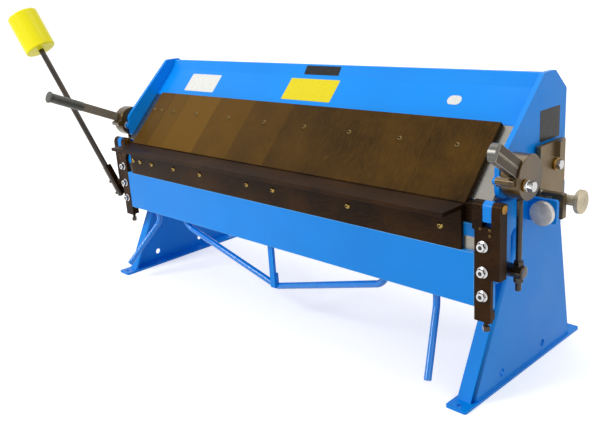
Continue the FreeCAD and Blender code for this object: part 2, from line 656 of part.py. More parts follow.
def bed():
    """Bed: the top plate on the legs, with a front web under the nose bar and a rear web."""
    end_x = LEG_OUTER_X
    shelf_rear_y = NOSE_BAR_REAR_Y + BED_WEB
    front = side_plate(-end_x, end_x, [
        (BED_WEB_FRONT_Y, BED_WEB_BOTTOM_Z, 0),
        (BED_WEB_FRONT_Y, NOSE_BAR_BOTTOM_Z, 0),
        (NOSE_BAR_REAR_Y, NOSE_BAR_BOTTOM_Z, 0),
        (NOSE_BAR_REAR_Y, BEND_Z, 0),
        (LEG_REAR_TOP_Y, BEND_Z, BED_REAR_EDGE_RADIUS),
        (LEG_REAR_TOP_Y, BED_UNDERSIDE_Z, 0),
        (shelf_rear_y, BED_UNDERSIDE_Z, 0),
        (shelf_rear_y, NOSE_BAR_BOTTOM_Z - BED_WEB, 0),
        (BED_WEB_FRONT_Y + BED_WEB, NOSE_BAR_BOTTOM_Z - BED_WEB, 0),
        (BED_WEB_FRONT_Y + BED_WEB, BED_WEB_BOTTOM_Z, 0),
    ])
    inner_x = LEG_OUTER_X - LEG_SHEET
    rear = box(-inner_x, inner_x, LEG_REAR_TOP_Y - BED_WEB, LEG_REAR_TOP_Y,
               BED_UNDERSIDE_Z - BED_REAR_WEB_DEPTH, BED_UNDERSIDE_Z)
    return fused([front, rear])


def nose_bar():
    """Hardened bar along the front of the bed, under the finger noses."""
    return side_plate(-NOSE_BAR_END_X, NOSE_BAR_END_X, [
        (NOSE_BAR_FRONT_Y, NOSE_BAR_BOTTOM_Z, 0),
        (NOSE_BAR_FRONT_Y, BEND_Z, NOSE_BAR_EDGE_RADIUS),
        (NOSE_BAR_REAR_Y, BEND_Z, 0),
        (NOSE_BAR_REAR_Y, NOSE_BAR_BOTTOM_Z, 0),
    ])


def hinge_arm():
    """Right hinge arm: carries the apron's hinge pin in front and the trunnion below."""
    radius = ARM_CORNER_RADIUS
    heel_y = APRON_BACK_Y + ARM_HEEL_GAP
    body = side_plate(LEG_OUTER_X, ARM_OUTER_X, [
        (-EAR_RADIUS, BEND_Z, 0),
        (-EAR_RADIUS, BEND_Z - ARM_NOSE_DROP, ARM_NOSE_RADIUS),
        (heel_y, NOSE_BAR_BOTTOM_Z + ARM_HEEL_RISE, 0),
        (heel_y, BED_WEB_BOTTOM_Z, ARM_TOE_FRONT_RADIUS),
        (ARM_DROP_REAR_Y, BED_WEB_BOTTOM_Z, ARM_TOE_REAR_RADIUS),
        (ARM_DROP_REAR_Y, ARM_UNDERSIDE_Z, radius),
        (ARM_REAR_Y, ARM_UNDERSIDE_Z, 0),
        (ARM_REAR_Y, BEND_Z, 0),
    ])
    head = rod_x(LEG_OUTER_X, ARM_OUTER_X, 0, BEND_Z, EAR_RADIUS)
    shape = fused([body, head])
    shape = shape.cut(rod_x(LEG_OUTER_X - PAST, ARM_OUTER_X + PAST, 0, BEND_Z, HINGE_PIN_RADIUS))
    bore_radius = TRUNNION_JOURNAL_RADIUS + RUNNING_FIT
    return shape.cut(rod_x(LEG_OUTER_X - PAST, ARM_OUTER_X + PAST, CRANK_Y, TRUNNION_Z, bore_radius))


def hinge_pin():
    """Right hinge pin, fixed in the hinge arm."""
    return rod_x(INNER_EAR_INNER_X - HINGE_PIN_PROUD, OUTER_EAR_OUTER_X + HINGE_PIN_PROUD, 0, BEND_Z,
                 HINGE_PIN_RADIUS)


def screw_lug():
    """Right lug on the leg, which holds the setback screw endways."""
    radius = LUG_CORNER_RADIUS
    shape = front_plate(ARM_REAR_Y, ARM_REAR_Y + LUG_THICKNESS, [
        (LEG_OUTER_X, LUG_BOTTOM_Z, 0),
        (LUG_OUTER_X, LUG_BOTTOM_Z, radius),
        (LUG_OUTER_X, LUG_TOP_Z, radius),
        (LEG_OUTER_X, LUG_TOP_Z, 0),
    ])
    hole_radius = SETBACK_SCREW_RADIUS + RUNNING_FIT
    return shape.cut(rod_y(SETBACK_SCREW_X, ARM_REAR_Y - PAST, ARM_REAR_Y + LUG_THICKNESS + PAST,
                           SETBACK_SCREW_Z, hole_radius))


def guide_pad():
    """Right pad on the leg, which the setback plate slides on and is locked to."""
    shape = box(LEG_OUTER_X, CARRIAGE_INNER_X - SLIDE_GAP, GUIDE_PAD_FRONT_Y, GUIDE_PAD_REAR_Y,
                GUIDE_PAD_BOTTOM_Z, GUIDE_PAD_TOP_Z)
    hole_radius = LOCK_STUD_RADIUS + RUNNING_FIT
    return shape.cut(rod_x(LEG_OUTER_X, CARRIAGE_INNER_X, LOCK_KNOB_Y, LOCK_KNOB_Z, hole_radius))


# Apron: the bending leaf that swings about the bend line

def bar_bolt_xs():
    """Return the X of every bolt through the bend bars: one in the middle, or a row between the ends."""
    places = []
    left = -HALF_BEND
    for width, count in zip(BAR_WIDTHS, BAR_SCREW_COUNTS):
        if count == 1:
            places.append(left + width / 2)
        else:
            pitch = (width - 2 * BAR_BOLT_EDGE) / (count - 1)
            places.extend(left + BAR_BOLT_EDGE + pitch * index for index in range(count))
        left += width
    return places


def apron_plate():
    """Apron leaf: a full plate with a thicker face plate below the bend bars."""
    back = box(-ARM_OUTER_X, ARM_OUTER_X, APRON_SHELF_Y, APRON_BACK_Y, APRON_BOTTOM_Z, APRON_TOP_Z)
    face_end = FORK_BAR_INNER_X - SIDE_GAP
    face = box(-face_end, face_end, APRON_FACE_Y, APRON_SHELF_Y, APRON_BOTTOM_Z, APRON_STEP_Z)
    shape = fused([back, face])
    holes = [rod_y(x, APRON_SHELF_Y - PAST, APRON_BACK_Y + PAST, BAR_BOLT_Z, BUTTON_SHANK_RADIUS)
             for x in bar_bolt_xs()]
    for side in (-1, 1):
        for z in FORK_BOLT_ZS:
            holes.append(rod_y(side * FORK_BOLT_X, APRON_SHELF_Y - PAST, APRON_BACK_Y + PAST, z,
                               FORK_BOLT_RADIUS))
    return shape.cut(Part.makeCompound(holes))


def bend_bar(left, right):
    """One bend bar: a short upright bolted to the apron and a ledge level with the bend line."""
    shape = side_plate(left, right, [
        (BAR_LEDGE_FRONT_Y, BAR_TOP_Z, BAR_EDGE_BREAK),
        (BAR_REAR_Y, BAR_TOP_Z, BAR_REAR_EDGE_RADIUS),
        (APRON_SHELF_Y, BAR_TOP_Z - (BAR_REAR_Y - APRON_SHELF_Y), 0),
        (APRON_SHELF_Y, APRON_STEP_Z, 0),
        (APRON_FACE_Y, APRON_STEP_Z, 0),
        (APRON_FACE_Y, BAR_TOP_Z - PLATE, BAR_INNER_RADIUS),
        (BAR_LEDGE_FRONT_Y, BAR_TOP_Z - PLATE, BAR_EDGE_BREAK),
    ])
    for x in bar_bolt_xs():
        if left < x < right:
            shape = shape.cut(rod_y(x, APRON_FACE_Y - PAST, APRON_SHELF_Y + PAST, BAR_BOLT_Z,
                                    BUTTON_SHANK_RADIUS))
    return shape


def button_screw(length):
    """Button head socket screw along -Z, head up, seated at the origin."""
    sphere_radius = (BUTTON_HEAD_RADIUS ** 2 + BUTTON_HEAD_HEIGHT ** 2) / (2 * BUTTON_HEAD_HEIGHT)
    ball = Part.makeSphere(sphere_radius, Vector(0, 0, BUTTON_HEAD_HEIGHT - sphere_radius))
    head = ball.common(Part.makeCylinder(BUTTON_HEAD_RADIUS + PAST, BUTTON_HEAD_HEIGHT))
    head = head.cut(prism((0, 0, BUTTON_HEAD_HEIGHT - BUTTON_SOCKET_DEPTH), (0, 0, 1), 6,
                          BUTTON_SOCKET_FLATS, BUTTON_SOCKET_DEPTH + PAST))
    shank = Part.makeCylinder(BUTTON_SHANK_RADIUS, length, Vector(0, 0, -length))
    return fused([head, shank])


def aimed(shape, seat, direction):
    """Return a fastener built along Z, moved to its seat with its head along direction."""
    turned = shape.copy()
    turn = FreeCAD.Rotation(Vector(0, 0, 1), Vector(*direction))
    turned.Placement = FreeCAD.Placement(Vector(*seat), turn)
    return turned


def bar_bolts():
    """Screws through the bend bars into the apron."""
    screw = button_screw(2 * PLATE)
    return [aimed(screw, (x, APRON_FACE_Y, BAR_BOLT_Z), (0, -1, 0)) for x in bar_bolt_xs()]


def bolt_slot(z):
    """Upright slot round a fork bolt, which lets the apron be set up and down."""
    radius = FORK_BOLT_RADIUS + FORK_SLOT_PLAY
    half = FORK_SLOT_TRAVEL / 2
    front = APRON_FACE_Y - PAST
    back = APRON_SHELF_Y + PAST
    ends = [rod_y(FORK_BOLT_X, front, back, z + shift, radius) for shift in (-half, half)]
    middle = box(FORK_BOLT_X - radius, FORK_BOLT_X + radius, front, back, z - half, z + half)
    return fused(ends + [middle])


def hinge_fork():
    """Right hinge fork: a slotted bar on the apron with two ears round the hinge pin."""
    bar = box(FORK_BAR_INNER_X, OUTER_EAR_INNER_X, APRON_FACE_Y, APRON_SHELF_Y,
              FORK_BAR_BOTTOM_Z, FORK_BAR_TOP_Z)
    inner_foot_z = APRON_TOP_Z + SIDE_GAP
    inner = side_plate(INNER_EAR_INNER_X, INNER_EAR_OUTER_X, [
        (APRON_FACE_Y, FORK_BAR_TOP_Z - FORK_WELD_LAP, 0),
        (APRON_SHELF_Y, FORK_BAR_TOP_Z - FORK_WELD_LAP, 0),
        (APRON_SHELF_Y, inner_foot_z, 0),
        (INNER_EAR_REAR_Y, inner_foot_z, 0),
        (EAR_RADIUS, BEND_Z - EAR_SHOULDER_DROP, 0),
        (EAR_RADIUS, BEND_Z, 0),
        (APRON_FACE_Y, BEND_Z, 0),
    ])
    inner_head = rod_x(INNER_EAR_INNER_X, INNER_EAR_OUTER_X, 0, BEND_Z, EAR_RADIUS)
    outer = side_plate(OUTER_EAR_INNER_X, OUTER_EAR_OUTER_X, [
        (APRON_FACE_Y, OUTER_EAR_BOTTOM_Z, OUTER_EAR_CORNER_RADIUS),
        (OUTER_EAR_REAR_Y, OUTER_EAR_BOTTOM_Z, OUTER_EAR_CORNER_RADIUS),
        (OUTER_EAR_REAR_Y, BEND_Z - EAR_SHOULDER_DROP, 0),
        (EAR_RADIUS, BEND_Z, 0),
        (APRON_FACE_Y, BEND_Z, 0),
    ])
    outer_head = rod_x(OUTER_EAR_INNER_X, OUTER_EAR_OUTER_X, 0, BEND_Z, EAR_RADIUS)
    block = box(FORK_BOLT_X - ADJUSTER_BLOCK_WIDTH / 2, FORK_BOLT_X + ADJUSTER_BLOCK_WIDTH / 2,
                APRON_SHELF_Y, APRON_SHELF_Y + ADJUSTER_BLOCK_DEPTH,
                FORK_BAR_BOTTOM_Z, FORK_BAR_BOTTOM_Z + ADJUSTER_BLOCK_HEIGHT)
    shape = fused([bar, inner, inner_head, outer, outer_head, block])
    shape = shape.cut(rod_x(INNER_EAR_INNER_X - PAST, OUTER_EAR_OUTER_X + PAST, 0, BEND_Z, BUSH_RADIUS))
    for z in FORK_BOLT_ZS:
        shape = shape.cut(bolt_slot(z))
    screw_hole = rod((FORK_BOLT_X, ADJUSTER_Y, FORK_BAR_BOTTOM_Z - PAST),
                     (FORK_BOLT_X, ADJUSTER_Y, APRON_BOTTOM_Z + PAST),
                     ADJUSTER_RADIUS + RUNNING_FIT)
    return shape.cut(screw_hole)


def hinge_bushes():
    """Brass bushes of the right hinge: one blind bush in each ear, on the hinge pin."""
    bushes = []
    bore = HINGE_PIN_RADIUS + RUNNING_FIT
    bore_depth = HINGE_PIN_PROUD + RUNNING_FIT
    for inside, outside, way in ((INNER_EAR_OUTER_X, INNER_EAR_INNER_X, -1),
                                 (OUTER_EAR_INNER_X, OUTER_EAR_OUTER_X, 1)):
        body = broken_rod((inside, 0, BEND_Z), (outside + way * BUSH_PROUD, 0, BEND_Z), BUSH_RADIUS,
                          BUSH_EDGE_BREAK)
        bushes.append(body.cut(rod_x(inside - way * PAST, outside + way * bore_depth, 0, BEND_Z, bore)))
    return bushes


def fork_bolts():
    """Flanged bolts through the right fork's slots into the apron."""
    bolts = []
    for z in FORK_BOLT_ZS:
        flange = rod_y(FORK_BOLT_X, APRON_FACE_Y - FORK_BOLT_FLANGE, APRON_FACE_Y, z,
                       FORK_BOLT_FLANGE_RADIUS)
        head = prism((FORK_BOLT_X, APRON_FACE_Y - FORK_BOLT_FLANGE, z), (0, -1, 0), 6,
                     FORK_BOLT_FLATS, FORK_BOLT_HEAD)
        shank = rod_y(FORK_BOLT_X, APRON_FACE_Y, APRON_BACK_Y, z, FORK_BOLT_RADIUS)
        bolts.append(fused([flange, head, shank]))
    return bolts


def adjuster_screw():
    """Right square head screw that lifts the apron on its fork."""
    head_top = FORK_BAR_BOTTOM_Z - ADJUSTER_STICK_OUT
    head = prism((FORK_BOLT_X, ADJUSTER_Y, head_top - ADJUSTER_HEAD_HEIGHT), (0, 0, 1), 4,
                 ADJUSTER_HEAD, ADJUSTER_HEAD_HEIGHT)
    shank = rod((FORK_BOLT_X, ADJUSTER_Y, head_top), (FORK_BOLT_X, ADJUSTER_Y, APRON_BOTTOM_Z),
                ADJUSTER_RADIUS)
    return fused([head, shank])


def truss_tube():
    """Round bar under the apron, bent down to the foot of the post."""
    weld_y = APRON_BACK_Y + TRUSS_TUBE_RADIUS
    path = [
        (-TRUSS_END_X, weld_y, TRUSS_WELD_Z),
        (-TRUSS_END_X, weld_y, TRUSS_END_Z),
        (0, TRUSS_LOW_Y, TRUSS_LOW_Z),
        (TRUSS_END_X, weld_y, TRUSS_END_Z),
        (TRUSS_END_X, weld_y, TRUSS_WELD_Z),
    ]
    return bent_rod(path, TRUSS_TUBE_RADIUS, TRUSS_BEND_RADIUS)


def truss_post():
    """Post from the apron down to the truss bar, with a bolted flange at its top."""
    top_flange = box(-POST_FLANGE_WIDTH / 2, POST_FLANGE_WIDTH / 2, APRON_BACK_Y,
                     APRON_BACK_Y + POST_THICKNESS, POST_TOP_Z - POST_FLANGE_HEIGHT, POST_TOP_Z)
    stem = box(-POST_WIDTH / 2, POST_WIDTH / 2, APRON_BACK_Y, APRON_BACK_Y + POST_THICKNESS,
               TRUSS_LOW_Z, POST_TOP_Z)
    foot_gusset = box(-POST_WIDTH / 2, POST_WIDTH / 2, APRON_BACK_Y, TRUSS_LOW_Y,
                      TRUSS_LOW_Z, TRUSS_LOW_Z + POST_GUSSET_HEIGHT)
    shape = fused([top_flange, stem, foot_gusset]).cut(truss_tube())
    return max(shape.Solids, key=lambda solid: solid.Volume)


def pull_rod():
    """Right pull handle: a round bar from the apron's back, bent forward and out."""
    weld_y = APRON_BACK_Y + PULL_ROD_RADIUS
    path = [(PULL_ROD_X, weld_y, PULL_ROD_WELD_Z), (PULL_ROD_X, weld_y, PULL_ROD_BEND_Z), PULL_ROD_END]
    shape = bent_rod(path, PULL_ROD_RADIUS, PULL_ROD_BEND_RADIUS)
    rims = [edge for edge in shape.Edges if isinstance(edge.Curve, Part.Circle)
            and (edge.CenterOfMass - Vector(*PULL_ROD_END)).Length < PULL_ROD_RADIUS]
    return shape.makeChamfer(PULL_ROD_END_BREAK, rims)


def on_left_fork(shape):
    """Return a shape built upright round the counterweight rod's axis, moved to its place."""
    lean_forward = FreeCAD.Rotation(Vector(1, 0, 0), WEIGHT_ROD_LEAN_FORWARD)
    lean_out = FreeCAD.Rotation(Vector(0, 1, 0), -WEIGHT_ROD_LEAN_OUT)
    foot_x = -(OUTER_EAR_INNER_X + WEIGHT_ROD_STAND_OFF)
    foot = Vector(foot_x, WEIGHT_ROD_FOOT_Y, BEND_Z - WEIGHT_ROD_FOOT_DROP)
    moved = shape.copy()
    moved.Placement = FreeCAD.Placement(foot, lean_out.multiply(lean_forward))
    return moved


def weight_rod():
    """Rod of the counterweight, domed at its lower end."""
    length = WEIGHT_ROD_FREE_LENGTH + WEIGHT_LENGTH - WEIGHT_CAP
    shape = Part.makeCylinder(WEIGHT_ROD_RADIUS, length)
    rims = [edge for edge in shape.Edges
            if isinstance(edge.Curve, Part.Circle) and edge.CenterOfMass.z < PAST]
    return on_left_fork(shape.makeFillet(WEIGHT_ROD_RADIUS / 2, rims))


def counterweight():
    """Round weight on the upper end of its rod."""
    shape = Part.makeCylinder(WEIGHT_RADIUS, WEIGHT_LENGTH, Vector(0, 0, WEIGHT_ROD_FREE_LENGTH))
    rims = [edge for edge in shape.Edges if isinstance(edge.Curve, Part.Circle)]
    shape = shape.makeFillet(WEIGHT_EDGE_RADIUS, rims)
    bore = Part.makeCylinder(WEIGHT_ROD_RADIUS, WEIGHT_ROD_FREE_LENGTH + WEIGHT_LENGTH - WEIGHT_CAP)
    return on_left_fork(shape.cut(bore))


def weight_channel():
    """Open channel behind the counterweight rod, on an arm from the left fork's outer ear."""
    room_radius = WEIGHT_ROD_RADIUS + RUNNING_FIT
    half = room_radius + CHANNEL_WALL
    end = CHANNEL_START + CHANNEL_LENGTH
    channel = on_left_fork(box(-half, half, -CHANNEL_FLANGE_REACH, CHANNEL_BACK, CHANNEL_START, end))
    room = Part.makeCylinder(room_radius, end + PAST)
    mouth = box(-room_radius, room_radius, -2 * CHANNEL_FLANGE_REACH, 0, 0, end + PAST)
    arm_z = OUTER_EAR_BOTTOM_Z + OUTER_EAR_CORNER_RADIUS
    arm = box(-OUTER_EAR_OUTER_X - CHANNEL_ARM_REACH, -OUTER_EAR_OUTER_X, APRON_FACE_Y,
              CHANNEL_ARM_REAR_Y, arm_z, arm_z + CHANNEL_ARM_HEIGHT)
    shape = fused([arm, channel]).cut(on_left_fork(room)).cut(on_left_fork(mouth))
    return shape.cut(Part.makeCompound(channel_screws(with_heads=False)))


def channel_screws(with_heads):
    """Clamp screws through the channel's outer flange, or their bare shanks."""
    wall_x = -(WEIGHT_ROD_RADIUS + RUNNING_FIT)
    shank_length = CHANNEL_WALL + CHANNEL_SCREW_STICK_OUT
    screws = []
    for along in CHANNEL_SCREWS:
        seat = Vector(wall_x, 0, CHANNEL_START + along)
        screw = Part.makeCylinder(CHANNEL_SCREW_RADIUS, shank_length, seat, Vector(-1, 0, 0))
        if with_heads:
            head_seat = (wall_x - shank_length, 0, CHANNEL_START + along)
            head = prism(head_seat, (-1, 0, 0), 4, CHANNEL_SCREW_HEAD, CHANNEL_SCREW_HEAD_HEIGHT)
            screw = fused([screw, head])
        screws.append(on_left_fork(screw))
    return screws


# Beam: the clamping leaf with the fingers

def finger(left, right):
    """One finger: a steel plate down the slope with its nose cut level on the bed."""
    nose_z = BEND_Z + SHEET_GAP
    front_up = slope_up_at(nose_z, 0)
    back_up = slope_up_at(nose_z, -FINGER_THICKNESS)
    corners = [on_slope(front_up, 0) + (FINGER_NOSE_RADIUS,),
               on_slope(FINGER_LENGTH, 0) + (FINGER_EDGE_BREAK,),
               on_slope(FINGER_LENGTH, -FINGER_THICKNESS) + (0,),
               on_slope(back_up, -FINGER_THICKNESS) + (0,)]
    shape = side_plate(left, right, corners)
    middle = (left + right) / 2
    y0, z0 = on_slope(FINGER_SCREW_UP, PAST)
    y1, z1 = on_slope(FINGER_SCREW_UP, -FINGER_THICKNESS - PAST)
    return shape.cut(rod((middle, y0, z0), (middle, y1, z1), BUTTON_SHANK_RADIUS))


def finger_screws():
    """One button head screw through each finger into the seat."""
    screw = button_screw(FINGER_THICKNESS + SEAT_THICKNESS)
    y, z = on_slope(FINGER_SCREW_UP, 0)
    return [aimed(screw, ((left + right) / 2, y, z), (0, -SLOPE_SIN, SLOPE_COS))
            for left, right in strips(FINGER_WIDTHS)]


def finger_seat():
    """Machined plate behind the fingers."""
    bottom_z = BEND_Z + SEAT_BOTTOM_GAP
    front = -FINGER_THICKNESS
    back = front - SEAT_THICKNESS
    shape = side_plate(-END_PLATE_INNER_X, END_PLATE_INNER_X, [
        on_slope(slope_up_at(bottom_z, front), front) + (0,),
        on_slope(FINGER_LENGTH, front) + (0,),
        on_slope(FINGER_LENGTH, back) + (0,),
        on_slope(slope_up_at(bottom_z, back), back) + (0,),
    ])
    y0, z0 = on_slope(FINGER_SCREW_UP, front + PAST)
    y1, z1 = on_slope(FINGER_SCREW_UP, back - PAST)
    holes = [rod(((left + right) / 2, y0, z0), ((left + right) / 2, y1, z1), BUTTON_SHANK_RADIUS)
             for left, right in strips(FINGER_WIDTHS)]
    return shape.cut(Part.makeCompound(holes))


def beam_shell():
    """Bent sheet of the beam: sloped face, top, shoulder and back, open below."""
    seam_y, seam_z = on_slope(BEAM_SEAM_UP, -FINGER_THICKNESS)
    low_y, low_z = on_slope(FINGER_LENGTH, -FINGER_THICKNESS)
    outer = [
        (low_y, low_z),
        (seam_y, seam_z),
        (BEAM_TOP_FRONT_Y, BEAM_TOP_Z),
        (BEAM_TOP_REAR_Y, BEAM_TOP_Z),
        (BEAM_REAR_Y, BEAM_SHOULDER_Z),
        (BEAM_REAR_Y, BEAM_SKIRT_Z),
    ]
    inner = offset_path(outer, BEAM_SHEET)
    loop = outer + inner[::-1]
    face = Part.Face(Part.makePolygon([Vector(-END_PLATE_INNER_X, y, z) for y, z in loop + loop[:1]]))
    return face.extrude(Vector(2 * END_PLATE_INNER_X, 0, 0))


def offset_path(points, distance):
    """Return an open (y, z) path moved sideways, to its right, by a distance."""
    moved = []
    count = len(points)
    normals = []
    for (y0, z0), (y1, z1) in zip(points, points[1:]):
        length = math.hypot(y1 - y0, z1 - z0)
        normals.append(((z1 - z0) / length, -(y1 - y0) / length))
    for index in range(count):
        before = normals[max(index - 1, 0)]
        after = normals[min(index, count - 2)]
        scale = distance / (1 + before[0] * after[0] + before[1] * after[1])
        y, z = points[index]
        moved.append((y + (before[0] + after[0]) * scale, z + (before[1] + after[1]) * scale))
    return moved


def end_plate():
    """Right end plate of the beam."""
    top_z = BEAM_TOP_Z + END_PLATE_MARGIN
    rear_y = BEAM_REAR_Y + END_PLATE_MARGIN
    slant = math.tan(math.radians(END_PLATE_SLANT))
    top_front_y = END_PLATE_FRONT_Y + (top_z - END_PLATE_FRONT_Z) / slant
    shape = side_plate(END_PLATE_INNER_X, END_PLATE_OUTER_X, [
        (END_PLATE_FRONT_Y, END_PLATE_BOTTOM_Z, END_PLATE_FRONT_RADIUS),
        (END_PLATE_FRONT_Y, END_PLATE_FRONT_Z, END_PLATE_FRONT_RADIUS),
        (top_front_y, top_z, END_PLATE_TOP_RADIUS),
        (BEAM_TOP_REAR_Y + END_PLATE_MARGIN, top_z, END_PLATE_REAR_RADIUS),
        (rear_y, BEAM_SHOULDER_Z + END_PLATE_MARGIN, END_PLATE_REAR_RADIUS),
        (rear_y, END_PLATE_BOTTOM_Z, END_PLATE_REAR_RADIUS),
    ])
    pivot_bore = rod_x(END_PLATE_INNER_X - PAST, END_PLATE_OUTER_X + PAST, PIVOT_Y, PIVOT_Z,
                       PIVOT_BOLT_RADIUS + RUNNING_FIT)
    cam_hole = rod_x(END_PLATE_INNER_X + CAM_BOLT_END_WALL, END_PLATE_OUTER_X + PAST, CAM_PIVOT_Y,
                     CAM_PIVOT_Z, CAM_BOLT_RADIUS)
    boss = rod_x(END_PLATE_INNER_X, END_PLATE_OUTER_X, CAM_PIVOT_Y, CAM_PIVOT_Z, CAM_BOLT_BOSS_RADIUS)
    return fused([shape, boss]).cut(pivot_bore).cut(cam_hole)


def cam_bolt(inset):
    """Right cam bolt with its spacer and washer, for a cam moved inwards by the inset."""
    cam_inner_x = CAM_INNER_X - inset
    cam_outer_x = CAM_OUTER_X - inset
    spacer = rod_x(END_PLATE_OUTER_X, cam_inner_x - SLIDE_GAP, CAM_PIVOT_Y, CAM_PIVOT_Z, CAM_WASHER_RADIUS)
    washer_x = cam_outer_x + SLIDE_GAP + CAM_BRASS_WASHER
    head_x = washer_x + CAM_STEEL_WASHER
    washer = rod_x(washer_x, head_x, CAM_PIVOT_Y, CAM_PIVOT_Z, CAM_STEEL_WASHER_RADIUS)
    head = prism((head_x, CAM_PIVOT_Y, CAM_PIVOT_Z), (1, 0, 0), 6, CAM_HEAD_FLATS, CAM_HEAD)
    shank = rod_x(END_PLATE_INNER_X + CAM_BOLT_END_WALL, head_x, CAM_PIVOT_Y, CAM_PIVOT_Z, CAM_BOLT_RADIUS)
    return fused([spacer, washer, head, shank])


def cam_brass_washer(inset):
    """Brass washer between the right cam and its bolt head, moved inwards by the inset."""
    inner_x = CAM_OUTER_X + SLIDE_GAP - inset
    outer_x = inner_x + CAM_BRASS_WASHER
    ring = rod_x(inner_x, outer_x, CAM_PIVOT_Y, CAM_PIVOT_Z, CAM_WASHER_RADIUS)
    return ring.cut(rod_x(inner_x - PAST, outer_x + PAST, CAM_PIVOT_Y, CAM_PIVOT_Z, CAM_BOLT_RADIUS))


# Setback carriage: the black plates that carry the beam's pivots

def setback_plate():
    """Right setback plate with its upright bar, slotted for the lock stud."""
    radius = CARRIAGE_CORNER_RADIUS
    plate = side_plate(CARRIAGE_INNER_X, CARRIAGE_OUTER_X, [
        (CARRIAGE_FRONT_Y, CARRIAGE_BOTTOM_Z, radius),
        (CARRIAGE_FRONT_Y, CARRIAGE_TOP_Z, radius),
        (CARRIAGE_REAR_Y, CARRIAGE_TOP_Z, radius),
        (CARRIAGE_REAR_Y, CARRIAGE_BOTTOM_Z, radius),
    ])
    upright = box(CARRIAGE_OUTER_X, CARRIAGE_OUTER_X + UPRIGHT_THICKNESS, UPRIGHT_FRONT_Y, UPRIGHT_REAR_Y,
                  UPRIGHT_BOTTOM_Z, CARRIAGE_TOP_Z)
    shape = fused([plate, upright])
    half_width = LOCK_STUD_RADIUS + SLIDE_GAP
    slot_front = box(CARRIAGE_INNER_X - PAST, CARRIAGE_OUTER_X + PAST, LOCK_KNOB_Y - SETBACK_TRAVEL,
                     LOCK_KNOB_Y, LOCK_KNOB_Z - half_width, LOCK_KNOB_Z + half_width)
    ends = [rod_x(CARRIAGE_INNER_X - PAST, CARRIAGE_OUTER_X + PAST, y, LOCK_KNOB_Z, half_width)
            for y in (LOCK_KNOB_Y - SETBACK_TRAVEL, LOCK_KNOB_Y)]
    bolt_hole = rod_x(CARRIAGE_INNER_X - PAST, CARRIAGE_OUTER_X + PAST, PIVOT_Y, PIVOT_Z,
                      PIVOT_BOLT_RADIUS)
    return shape.cut(fused([slot_front] + ends)).cut(bolt_hole)


def setback_bracket():
    """Right inverted L bracket on the setback plate, which the setback screw moves."""
    rear_y = BRACKET_FRONT_Y + BRACKET_DEPTH
    leg_inner_x = BRACKET_OUTER_X - BRACKET_LEG_WIDTH
    shape = front_plate(BRACKET_FRONT_Y, rear_y, [
        (CARRIAGE_OUTER_X, BRACKET_TOP_Z, 0),
        (BRACKET_OUTER_X, BRACKET_TOP_Z, BRACKET_EDGE_RADIUS),
        (BRACKET_OUTER_X, BRACKET_BOTTOM_Z, BRACKET_FOOT_RADIUS),
        (leg_inner_x, BRACKET_BOTTOM_Z, BRACKET_FOOT_RADIUS),
        (leg_inner_x, BRACKET_TOP_Z - BRACKET_SHELF, BRACKET_EDGE_RADIUS),
        (CARRIAGE_OUTER_X, BRACKET_TOP_Z - BRACKET_SHELF, 0),
    ])
    return shape.cut(rod_y(SETBACK_SCREW_X, BRACKET_FRONT_Y - PAST, rear_y + PAST, SETBACK_SCREW_Z,
                           SETBACK_SCREW_RADIUS + RUNNING_FIT))


def pivot_bolt():
    """Right beam pivot bolt with its nut, fixed in the setback plate."""
    head_x = CARRIAGE_OUTER_X + PIVOT_WASHER
    head = prism((head_x, PIVOT_Y, PIVOT_Z), (1, 0, 0), 6, PIVOT_HEAD_FLATS, PIVOT_HEAD)
    nut_x = END_PLATE_INNER_X - SIDE_GAP
    nut = prism((nut_x - PIVOT_NUT, PIVOT_Y, PIVOT_Z), (1, 0, 0), 6, PIVOT_HEAD_FLATS, PIVOT_NUT)
    shank = rod_x(nut_x - PIVOT_NUT, head_x, PIVOT_Y, PIVOT_Z, PIVOT_BOLT_RADIUS)
    spacer = rod_x(END_PLATE_OUTER_X + SLIDE_GAP, CARRIAGE_INNER_X, PIVOT_Y, PIVOT_Z, PIVOT_WASHER_RADIUS)
    return fused([head, nut, shank, spacer])


def pivot_washer():
    """Brass washer under the right pivot bolt's head."""
    ring = rod_x(CARRIAGE_OUTER_X, CARRIAGE_OUTER_X + PIVOT_WASHER, PIVOT_Y, PIVOT_Z, PIVOT_WASHER_RADIUS)
    return ring.cut(rod_x(CARRIAGE_OUTER_X - PAST, CARRIAGE_OUTER_X + PIVOT_WASHER + PAST, PIVOT_Y, PIVOT_Z,
                          PIVOT_BOLT_RADIUS))


def setback_knob():
    """Right setback knob with its screw, captive in the lug and threaded in the bracket."""
    knob_rear_y = SETBACK_KNOB_FACE_Y + SETBACK_KNOB_DEPTH
    lug_rear_y = ARM_REAR_Y + LUG_THICKNESS
    x = SETBACK_SCREW_X
    z = SETBACK_SCREW_Z
    head = broken_rod((x, SETBACK_KNOB_FACE_Y, z), (x, knob_rear_y, z), KNOB_RADIUS, KNOB_EDGE_BREAK)
    hub = rod_y(x, knob_rear_y, ARM_REAR_Y - SLIDE_GAP, z, SETBACK_COLLAR_RADIUS)
    collar_y = lug_rear_y + SLIDE_GAP
    collar = rod_y(x, collar_y, collar_y + SETBACK_COLLAR, z, SETBACK_COLLAR_RADIUS)
    screw_end_y = BRACKET_FRONT_Y + BRACKET_DEPTH + SETBACK_SCREW_PAST
    screw = rod_y(x, knob_rear_y, screw_end_y, z, SETBACK_SCREW_RADIUS)
    return fused([head, hub, collar, screw])


